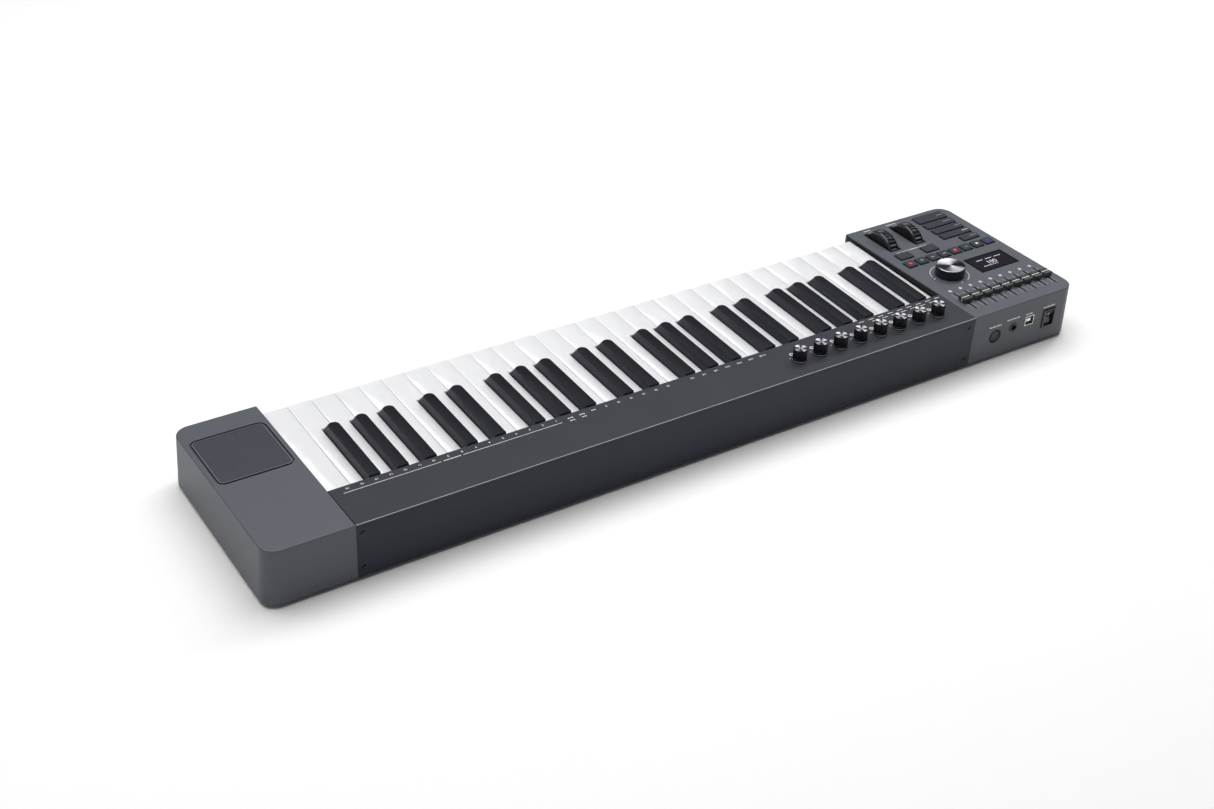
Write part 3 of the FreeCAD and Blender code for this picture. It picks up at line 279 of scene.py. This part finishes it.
DOT_INK = moulded("dot_ink_look", (0.5, 0.51, 0.54), 0.5, 0.05)
SHADE_INK = moulded("shade_ink_look", (0.02, 0.022, 0.03), 0.5, 0.1)
INK = moulded("ink_look", (0.8, 0.8, 0.8), 0.5, 0.03)
DIM_INK = moulded("dim_ink_look", (0.3, 0.31, 0.34), 0.5, 0.05)
RED = moulded("red_ink_look", (0.85, 0.02, 0.02), 0.4, 0.05)
GREEN = moulded("green_ink_look", (0.01, 0.42, 0.1), 0.4, 0.05)
BLUE = moulded("blue_ink_look", (0.02, 0.06, 0.6), 0.4, 0.05)
FLOOR = moulded("floor_look", (0.93, 0.93, 0.93), 0.9, 0.004, 3.0, 0.0)

LOOKS = {
    "case_plastic": CASE,
    "tray_plastic": TRAY,
    "rail_plastic": RAIL,
    "panel_metal": REAR,
    "key_white": WHITE,
    "key_black": BLACK_LIT_SIDE,
    "inner_plastic": INNER,
    "spring_steel": SPRING,
    "screw_steel": SCREW,
    "silicone": BUTTON,
    "foot_rubber": FOOT,
    "knob_plastic": KNOB,
    "wheel_plastic": WHEEL,
    "fader_plastic": FADER,
    "pad_plastic": PAD,
    "screen_glass": GLASS,
    "board_laminate": LAMINATE,
    "socket_plastic": SOCKET,
    "socket_steel": STEEL,
    "switch_plastic": SWITCH,
    # The steel pots take the dark inner look: painted shade that keeps the fader slots dark.
    "pot_steel": INNER,
}
SLOT = {part["node"]: part["material_slot"] for part in frame["record"]["subparts"]}
for name, item in frame["nodes"].items():
    for holder in item.material_slots:
        holder.material = LOOKS[SLOT[name]]


# ---------------------------------------------------------------- pieces


def piece(name, mesh, place, body, looks):
    """A finished piece: its mesh set down at place, riding on body."""
    item = bpy.data.objects.new(name, mesh)
    bpy.context.collection.objects.link(item)
    item.matrix_world = place
    if not mesh.materials:
        for look in looks:
            mesh.materials.append(look)
    bpy.context.view_layer.update()
    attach(item, body)
    return item


def mesh_of(name, build):
    """A mesh made by build(bm), with its faces turned outwards."""
    bm = bmesh.new()
    build(bm)
    bmesh.ops.recalc_face_normals(bm, faces=bm.faces)
    mesh = bpy.data.meshes.new(name)
    bm.to_mesh(mesh)
    bm.free()
    return mesh


def smooth(mesh, degrees=35.0):
    for face in mesh.polygons:
        face.use_smooth = True
    mesh.set_sharp_from_angle(angle=math.radians(degrees))


def soften(item, width, segments=2, look=-1):
    """Rounds an item's edges, keeping its flat faces flat; look is the rounding's own material."""
    modifier = item.modifiers.new("rounding", "BEVEL")
    modifier.width = width * MM
    modifier.segments = segments
    modifier.limit_method = "ANGLE"
    modifier.angle_limit = math.radians(30.0)
    modifier.use_clamp_overlap = True
    modifier.harden_normals = True
    modifier.material = look


def copied(node, width, looks):
    """A softened copy of a CAD node, in its place; looks are for its sides, its top and its edges."""
    source = frame["nodes"][node]
    bm = bmesh.new()
    bm.from_mesh(source.data)
    bmesh.ops.remove_doubles(bm, verts=bm.verts, dist=1e-6)
    bmesh.ops.dissolve_limit(bm, angle_limit=math.radians(1.0), verts=bm.verts, edges=bm.edges)
    bm.normal_update()
    for face in bm.faces:
        face.smooth = True
        face.material_index = int(len(looks) > 1 and face.normal.z > 0.99)
    mesh = bpy.data.meshes.new(node + "_soft")
    bm.to_mesh(mesh)
    bm.free()
    item = piece(node + "_soft", mesh, source.matrix_world.copy(), BODY[node], looks)
    soften(item, width, look=2 if len(looks) > 2 else -1)
    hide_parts(node)


def turned(name, profile, count=72, flutes=0, depth=0.0):
    """A round solid about Z: profile gives (radius, height, look) in mm; a negative radius is fluted."""

    def build(bm):
        rings = []
        for radius, height, _ in profile:
            ring = []
            for step in range(count):
                angle = 2 * math.pi * step / count
                dip = depth * (0.5 - 0.5 * math.cos(flutes * angle)) if radius < 0 else 0.0
                reach = (abs(radius) - dip) * MM
                ring.append(bm.verts.new((reach * math.cos(angle), reach * math.sin(angle), height * MM)))
            rings.append(ring)
        for index in range(len(rings) - 1):
            lower, upper = rings[index], rings[index + 1]
            for step in range(count):
                after = (step + 1) % count
                face = bm.faces.new((lower[step], lower[after], upper[after], upper[step]))
                face.material_index = profile[index][2]
        bm.faces.new(reversed(rings[0]))
        bm.faces.new(rings[-1]).material_index = profile[-1][2]

    mesh = mesh_of(name, build)
    smooth(mesh)
    return mesh


def prism(bm, outline, low, high, look=0):
    """A flat outline in millimetres, given a thickness from low to high."""
    rings = [[bm.verts.new((x * MM, y * MM, height * MM)) for x, y in outline] for height in (low, high)]
    faces = [bm.faces.new(reversed(rings[0])), bm.faces.new(rings[1])]
    for step in range(len(outline)):
        after = (step + 1) % len(outline)
        faces.append(bm.faces.new((rings[0][step], rings[0][after], rings[1][after], rings[1][step])))
    for face in faces:
        face.material_index = look


def bar(x, y, width, length):
    """The outline of a rectangle about (x, y)."""
    half, reach = width / 2, length / 2
    return [(x - half, y - reach), (x + half, y - reach), (x + half, y + reach), (x - half, y + reach)]


def disc(x, y, radius, count=28):
    angles = [2 * math.pi * step / count for step in range(count)]
    return [(x + radius * math.cos(angle), y + radius * math.sin(angle)) for angle in angles]


def arc(x, y, radius, first, last, count=64):
    """Points on an arc about (x, y), between two angles in degrees."""
    angles = [math.radians(first + (last - first) * step / count) for step in range(count + 1)]
    return [(x + radius * math.cos(angle), y + radius * math.sin(angle)) for angle in angles]


def band(x, y, radius, width, first, last):
    """The outline of a curved line of some width."""
    return arc(x, y, radius + width / 2, first, last) + arc(x, y, radius - width / 2, last, first)


def legend(x, y, width, height=1.3):
    """A row of small blocks in the place of a printed word, running either way from its middle."""
    count = max(2, round(width / (height * 1.05)))
    pitch = width / count
    blocks = []
    for index in range(count):
        tall = height * (1.0, 0.72, 0.86)[index % 3]
        blocks.append(bar(x - width / 2 + pitch * (index + 0.5), y - (height - tall) / 2, pitch * 0.68, tall))
    return blocks


PRINT_LIFT = 0.01              # keeps printing off the surface under it
FIGURE_DEPTH = 0.025           # half a figure's thickness


def numerals(text, x, y, size):
    """The outlines of a number's figures, about (x, y), as a mesh in millimetres."""
    curve = bpy.data.curves.new("figures", "FONT")
    curve.body = text
    curve.size = size
    curve.align_x = "CENTER"
    curve.align_y = "CENTER"
    curve.resolution_u = 3
    curve.offset = 0.02
    curve.extrude = FIGURE_DEPTH
    item = bpy.data.objects.new("figures", curve)
    mesh = bpy.data.meshes.new_from_object(item)
    mesh.transform(Matrix.Translation((x, y, 0.0)))
    bpy.data.objects.remove(item)
    bpy.data.curves.remove(curve)
    return mesh


def printed(name, place, body, look, outlines=(), figures=(), thickness=0.05):
    """Printing on a surface: flat outlines and figures, as one thin piece."""

    def build(bm):
        for outline in outlines:
            prism(bm, outline, 0.0, thickness)
        for text, x, y, size in figures:
            mesh = numerals(text, x, y, size)
            mesh.transform(Matrix.Diagonal((MM, MM, MM, 1.0)))
            mesh.transform(Matrix.Translation((0.0, 0.0, FIGURE_DEPTH * MM)))
            bm.from_mesh(mesh)
            bpy.data.meshes.remove(mesh)

    return piece(name, mesh_of(name, build), place, body, [look])


def standing(body):
    """Where a knob or wheel stands: its joint's place, square to the panel."""
    return Matrix.Translation(Vector(JOINT[body]["pos_m"])) @ Matrix.Rotation(TILT, 4, "X")


# ---------------------------------------------------------------- keys

WHITE_ROUNDING = 0.3
BLACK_ROUNDING = 0.5
for node in ("white_keys_1", "white_keys_2", "white_keys_3"):
    copied(node, WHITE_ROUNDING, [WHITE])
# The black keys' sides take the lighter look, their tops the darker one and their rounded edges a painted
# highlight: painted light and shade on one plastic.
for node in ("black_keys_1", "black_keys_2"):
    copied(node, BLACK_ROUNDING, [BLACK_LIT_SIDE, BLACK_SHADED_TOP, BLACK_EDGE_HIGHLIGHT])

EDGE = 0.3                     # radius of the light rod, a painted highlight on the rail's edge
EDGE_ENDS = (-312.8, 371.1)
EDGE_BACK = 55.35


def rail_edge_highlight_build(bm):
    """A painted highlight on the edge where the rail turns down to the rear panel, as a thin light rod along
    X.
    """
    rings = []
    for x in EDGE_ENDS:
        angles = [math.pi * step / 4 for step in range(8)]
        points = [(x * MM, EDGE * MM * math.cos(angle), EDGE * MM * math.sin(angle)) for angle in angles]
        rings.append([bm.verts.new(point) for point in points])
    bm.faces.new(rings[0])
    bm.faces.new(reversed(rings[1]))
    for step in range(8):
        after = (step + 1) % 8
        bm.faces.new((rings[0][after], rings[0][step], rings[1][step], rings[1][after]))


edge_place = on_panel(0.0, EDGE_BACK, -0.2)
piece("rail_edge_highlight", mesh_of("rail_edge_highlight", rail_edge_highlight_build), edge_place, "case", [RAIL_EDGE_HIGHLIGHT])

# ---------------------------------------------------------------- knobs

KNOB_PROFILE = [
    (3.0, -8.5, 0), (3.0, 0.45, 0), (6.5, 0.45, 0), (7.1, 0.7, 2), (7.1, 1.25, 2), (6.9, 1.6, 0),
    (6.9, 3.3, 0), (6.75, 3.45, 0), (-6.85, 3.5, 0), (-6.75, 12.6, 0), (6.6, 12.75, 0), (6.55, 13.1, 0),
    (6.3, 13.45, 1), (6.05, 13.5, 1), (5.9, 13.4, 1), (0.3, 13.4, 1),
]
DIAL_PROFILE = [
    (3.0, -8.5, 0), (3.0, 0.45, 0), (15.2, 0.45, 0), (15.7, 0.9, 0), (15.7, 9.8, 0), (15.55, 10.3, 3),
    (15.0, 10.9, 3), (14.7, 11.0, 1), (14.4, 10.85, 1), (0.3, 10.85, 1),
]
knob_mesh = turned("knob", KNOB_PROFILE, 216, 36, 0.5)
knob_looks = [KNOB, KNOB_TOP, KNOB_RING]
for index in range(8):
    body = "knob_%d" % (index + 1)
    knob = piece(body + "_turned", knob_mesh, standing(body), body, knob_looks)
    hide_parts(body)
dial_mesh = turned("dial", DIAL_PROFILE, 144)
dial_looks = [DIAL, DIAL_TOP, KNOB_RING, DIAL_RIM]
dial = piece("dial_turned", dial_mesh, standing("data_knob"), "data_knob", dial_looks)
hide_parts("data_knob")

# ---------------------------------------------------------------- wheels

RIBS = 32
RIB_FOOT = 22.9                # the channel's radius between its ribs
RIB_SHAPE = (0.0, 0.0, 0.55, 0.95, 0.95, 0.55)
# (across, radius) round the section; radius 0.0 stands for the ribbed floor of the channel.
WHEEL_SECTION = [
    (-6.25, 2.2), (-6.25, 21.6), (-6.1, 22.6), (-5.6, 23.5), (-4.9, 23.9), (-4.3, 24.0), (-3.9, 0.0),
    (3.9, 0.0), (4.3, 24.0), (4.9, 23.9), (5.6, 23.5), (6.1, 22.6), (6.25, 21.6), (6.25, 2.2),
]
# The shoulders take the lighter look, a painted highlight along the wheel's rim.
WHEEL_SHOULDERS = (1, 2, 3, 9, 10, 11)


def wheel_build(bm):
    """A wheel about X: smooth shoulders with a channel between them, crossed by ribs."""
    steps = RIBS * len(RIB_SHAPE)
    rings = []
    for across, radius in WHEEL_SECTION:
        ring = []
        for step in range(steps):
            angle = 2 * math.pi * step / steps
            reach = radius or RIB_FOOT + RIB_SHAPE[step % len(RIB_SHAPE)]
            point = (across, reach * math.cos(angle), reach * math.sin(angle))
            ring.append(bm.verts.new([value * MM for value in point]))
        rings.append(ring)
    for index, ring in enumerate(rings):
        following = rings[(index + 1) % len(rings)]
        for step in range(steps):
            after = (step + 1) % steps
            face = bm.faces.new((ring[step], ring[after], following[after], following[step]))
            face.material_index = int(index in WHEEL_SHOULDERS)


wheel_mesh = mesh_of("wheel", wheel_build)
smooth(wheel_mesh, 28.0)
for body in ("pitch_wheel", "mod_wheel"):
    wheel = piece(body + "_ribbed", wheel_mesh, standing(body), body, [WHEEL, WHEEL_RIM_HIGHLIGHT])
    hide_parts(body)

# ---------------------------------------------------------------- faders


FADER_BACK_WALL = ((-5.25, 1.0), (-5.25, 4.9), (-4.8, 5.6), (-4.0, 5.75))
FADER_RIBS = 6
FADER_RIB_PITCH = 0.5
FADER_SCALE = [2.5 * step for step in range(-6, 7)]


def fader_build(bm):
    """A cap with a shallow dip in its top and fine ribs beside it, on its steel lever."""
    section = list(FADER_BACK_WALL)
    for step in range(FADER_RIBS):
        y, z = -3.7 + FADER_RIB_PITCH * step, 5.7 - 0.11 * step
        section += [(y, z), (y + 0.2, z - 0.25), (y + 0.35, z - 0.25)]
    section += [(-y, z) for y, z in reversed(section)]
    rings = [[bm.verts.new((x * MM, y * MM, z * MM)) for y, z in section] for x in (-5.0, 5.0)]
    bm.faces.new(rings[0])
    bm.faces.new(reversed(rings[1]))
    for step in range(len(section)):
        after = (step + 1) % len(section)
        bm.faces.new((rings[0][after], rings[0][step], rings[1][step], rings[1][after]))
    prism(bm, bar(0.0, 0.0, 1.2, 4.0), -7.0, 1.0, 1)


def fader_line_build(bm):
    """The painted line across the cap's dip and down its two sides."""
    prism(bm, bar(0.0, 0.0, 10.2, 0.8), 4.7, 5.3)
    for side in (-5.05, 5.05):
        prism(bm, bar(side, 0.0, 0.1, 0.8), 1.2, 5.3)


fader_mesh = mesh_of("fader_cap", fader_build)
line_mesh = mesh_of("fader_line", fader_line_build)
for index in range(9):
    body = "fader_%d" % (index + 1)
    low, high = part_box(body)
    across = (low.x + high.x) / 2 / MM
    place = on_panel(across, FADER_BACK)
    cap = piece(body + "_cap", fader_mesh, place, body, [FADER, STEEL])
    soften(cap, 0.12, 1)
    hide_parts(body)
    piece(body + "_line", line_mesh, place, body, [INK])
    ticks = [bar(side * 3.1, along, 2.4, 0.6) for side in (-1, 1) for along in FADER_SCALE]
    printed(body + "_scale", place @ Matrix.Translation((0, 0, PRINT_LIFT * MM)), "case", DIM_INK, ticks)

# ---------------------------------------------------------------- buttons' icons

TOP = 1.71                     # a button's top over the panel


def arrow(x, y, size):
    return [(x - size * 0.8, y - size), (x + size, y), (x - size * 0.8, y + size)]


ICONS = (
    (RED, [disc(0, 0, 2.2)]),
    (GREEN, [disc(0, 0, 1.6)]),
    (DIM_INK, [arrow(-1.0, 0, -1.3), arrow(1.3, 0, -1.3)]),
    (DIM_INK, [arrow(-1.3, 0, 1.3), arrow(1.0, 0, 1.3)]),
    (RED, [disc(0, 0, 2.2)]),
    (GREEN, [arrow(0, 0, 1.7)]),
    (INK, [bar(0, 0, 2.9, 2.9)]),
    (BLUE, [band(0, 0, 1.6, 0.9, 30, 330), arrow(1.6, 0.7, 1.0)]),
)
for index, (look, outlines) in enumerate(ICONS):
    body = "transport_button_%d" % (index + 1)
    low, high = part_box(body)
    place = on_panel((low.x + high.x) / 2 / MM, TRANSPORT_BACK, TOP)
    printed(body + "_icon", place, body, look, outlines)
for body, x, v, width, look in (
    ("function_button_1", -432.6, -135.0, 8.5, DIM_INK),
    ("function_button_2", -430.4, -120.4, 11.5, DIM_INK),
    ("function_button_3", -433.8, -106.8, 8.0, DIM_INK),
    ("function_button_4", -433.3, -94.0, 8.8, INK),
    ("function_button_5", -431.6, -80.4, 10.0, DIM_INK),
):
    printed(body + "_label", on_panel(x, v, TOP), body, look, legend(0.0, 0.0, width, 1.2))
for body, turn in (("octave_down", -1.0), ("octave_up", 1.0)):
    low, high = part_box(body)
    place = on_panel((low.x + high.x) / 2 / MM, OCTAVE_BACK, TOP)
    printed(body + "_mark", place, body, SHADE_INK, [arrow(0.0, 0.0, turn * 2.0)])

# ---------------------------------------------------------------- printing on the panel

strip = on_panel(0.0, 0.0, PRINT_LIFT)
PITCH = 13.71                  # of the figures along the strip
numbers = [(str(16 - index), 354.9 - PITCH * index, 5.0, 3.5) for index in range(16)]
numbers += [(str(5 * index), 110.3 - PITCH * index, 6.6, 3.3) for index in range(1, 7)]
numbers += [("1/%d" % 2 ** index, 14.3 - PITCH * index, 6.6, 3.3) for index in range(1, 8)]
lines = [bar(314.4, 10.2, 92.8, 0.5), bar(196.2, 10.1, 101.2, 0.5)]
lines += legend(257.3, 10.0, 17.0, 1.3)
for x in (135.4, 122.9):
    lines += legend(x, 7.2, 5.6, 1.5) + legend(x, 11.3, 5.2, 1.5)
lines += legend(110.3, 6.5, 4.6, 1.5)
for index in range(9):
    lines.append(bar(-206.0 - 12.4 * index, 4.6, 6.5, 0.7))
for index in range(7):
    lines.append(bar(-220.5 - 12.4 * index, 8.6, 7.5, 0.6))
printed("strip_printing", strip, "case", INK, lines, numbers)

RING_BACK = 19.0               # of the numbered rings beside the knobs
RING_ASIDE = 0.3
ring_marks, ring_numbers = [], []
for index in range(8):
    low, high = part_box("knob_%d" % (index + 1))
    x = (low.x + high.x) / 2 / MM
    ring_marks.append(band(x + RING_ASIDE, RING_BACK, 1.95, 0.75, 0, 359.5))
    ring_marks += [disc(x + side * 6.3, 24.6, 0.5, 10) for side in (-1, 1)]
    ring_numbers.append((str(index + 1), x + RING_ASIDE, RING_BACK, 2.6))
printed("knob_printing", strip, "case", INK, ring_marks, ring_numbers)

dial_x, dial_v = -351.0, -27.0
marks = [band(dial_x, dial_v, 20.4, 0.8, -246, -10)]
marks += [disc(dial_x + 20.6, dial_v, 1.0), disc(dial_x, dial_v + 19.6, 1.0)]
printed("dial_printing", strip, "case", DOT_INK, marks)
marks = [bar(-341.0, -89.6, 18.0, 0.45), bar(-368.0, -89.6, 12.0, 0.45)] + legend(-355.5, -89.6, 11.0, 1.2)
marks += legend(-337.5, -145.6, 8.6, 1.3) + legend(-370.4, -144.9, 13.4, 1.3)
printed("panel_printing", strip, "case", INK, marks)
fader_marks = []
for index in range(9):
    low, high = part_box("fader_%d" % (index + 1))
    fader_marks.append(disc((low.x + high.x) / 2 / MM, 1.0, 1.9))
printed("fader_printing", strip, "case", DOT_INK, fader_marks)

# ---------------------------------------------------------------- display

low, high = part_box("display")
glass = on_panel((low.x + high.x) / 2 / MM, WINDOW_BACK, WINDOW_LEVEL)


def rounded_bar(width, length, corner, count=6):
    """The outline of a rectangle with round corners."""
    points = []
    for side_x, side_y, start in ((1, 1, 0), (-1, 1, 90), (-1, -1, 180), (1, -1, 270)):
        for step in range(count + 1):
            angle = math.radians(start + 90 * step / count)
            x = side_x * (width / 2 - corner) + corner * math.cos(angle)
            points.append((x, side_y * (length / 2 - corner) + corner * math.sin(angle)))
    return points


printed("screen", glass, "case", SCREEN, [rounded_bar(46.0, 25.0, 0.8)], (), 0.02)
readout = legend(5.5, 6.2, 20.0, 1.3) + [bar(x, -6.4, 9.0, 0.9) for x in (-14.0, -1.5, 11.0)]
over_screen = glass @ Matrix.Translation((0, 0, 0.021 * MM))
printed("readout", over_screen, "case", GLOW, readout, [("001", 0.0, 0.4, 9.0)], 0.01)

# ---------------------------------------------------------------- cheeks, pad rim and rear face


def loop(width, length, corner, line):
    """The outline of a rectangular frame with round corners, open by a hair at one point."""
    outer = rounded_bar(width, length, corner)
    inner = rounded_bar(width - 2 * line, length - 2 * line, corner - line)
    ends = [(x, y - 0.01) for x, y in (outer[0], inner[0])]
    return outer + ends + inner[::-1]


low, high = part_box("touch_pad")
rim_place = on_panel((low.x + high.x) / 2 / MM, PAD_BACK, PAD_LEVEL)
printed("pad_rim", rim_place, "case", PAD_RIM, [loop(67.2, 70.2, 5.0, 0.9)], (), 0.35)


def cheek_build(bm):
    """The dark strip on the end block's wall beside the keys, up to the sloping panel's edge."""
    outline = [(-149.0, -24.0), (0.2, -26.0), (0.2, -1.3), (-149.0, -1.3)]
    prism(bm, outline, 0.0, 0.3)


cheek_mesh = mesh_of("cheek", cheek_build)
for name, node, side in (("control_cheek", "control_housing", 1), ("pad_cheek", "pad_housing", -1)):
    low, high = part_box(node)
    wall = (high.x if side > 0 else low.x) / MM
    turn = Matrix.Rotation(math.radians(90), 4, "Z") @ Matrix.Rotation(math.radians(90), 4, "X")
    place = on_panel(wall + (0.02 if side > 0 else -0.32), 0.0) @ turn
    piece(name, cheek_mesh, place, "case", [CHEEK])

ROCKER_REST = -8               # degrees
REAR_TURN = Matrix.Rotation(math.radians(180), 4, "Z") @ Matrix.Rotation(math.radians(90), 4, "X")
low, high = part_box("control_housing")
rear = Matrix.Translation((0.0, high.y + 0.00001, 0.0)) @ REAR_TURN
words = legend(343.5, 41.0, 17.0, 1.9) + legend(368.0, 43.0, 17.5, 1.7)
words += legend(390.4, 42.6, 9.5, 1.9) + legend(418.2, 44.0, 16.0, 1.7)
printed("rear_printing", rear, "case", INK, words)
rocker = Matrix.Translation(Vector(JOINT["power_rocker"]["pos_m"]))
rocker = rocker @ Matrix.Rotation(math.radians(ROCKER_REST), 4, "X")


def rocker_mark_build(bm):
    """The stroke on the rocker's upper face, which leans out as it rises."""
    corners = ((-0.4, 2.8), (0.4, 2.8), (0.4, 6.0), (-0.4, 6.0))
    bm.faces.new([bm.verts.new((x * MM, (1.66 + z * 0.225) * MM, z * MM)) for x, z in corners])


piece("rocker_mark", mesh_of("rocker_mark", rocker_mark_build), rocker, "power_rocker", [INK])

# ---------------------------------------------------------------- floor, light and camera

FLOOR_REACH = 15.0
floor_mesh = mesh_of("floor", lambda bm: bmesh.ops.create_grid(bm, size=FLOOR_REACH))
floor = bpy.data.objects.new("floor", floor_mesh)
floor.data.materials.append(FLOOR)
bpy.context.collection.objects.link(floor)


def soft_light(name, place, target, size, power):
    lamp = bpy.data.lights.new(name, "AREA")
    lamp.shape = "RECTANGLE"
    lamp.size, lamp.size_y = size
    lamp.energy = power
    item = bpy.data.objects.new(name, lamp)
    bpy.context.collection.objects.link(item)
    item.location = place
    item.rotation_euler = (Vector(target) - Vector(place)).to_track_quat("-Z", "Y").to_euler()


soft_light("overhead", (0.0, -0.5, 2.2), (0, 0, 0), (3.2, 2.2), 72.0)
soft_light("side", (2.6, 0.2, 1.2), (0, 0, 0), (1.6, 1.4), 3.0)
soft_light("glint", (-1.85, -0.6, 1.7), (-0.3, 0, 0), (0.5, 0.5), 10.0)

world = bpy.data.worlds.new("studio")
world.use_nodes = True
world.node_tree.nodes["Background"].inputs["Color"].default_value = (1.0, 1.0, 1.0, 1.0)
world.node_tree.nodes["Background"].inputs["Strength"].default_value = 0.15
bpy.context.scene.world = world
bpy.context.scene.view_settings.view_transform = "Standard"

lens = bpy.data.cameras.new("camera")
lens.lens = 51.36
lens.sensor_width = 36.0
camera = bpy.data.objects.new("camera", lens)
bpy.context.collection.objects.link(camera)
camera.location = (0.8296, 1.1342, 0.9535)
camera.rotation_euler = [math.radians(angle) for angle in (55.583, -2.564, 147.572)]
bpy.context.scene.camera = camera
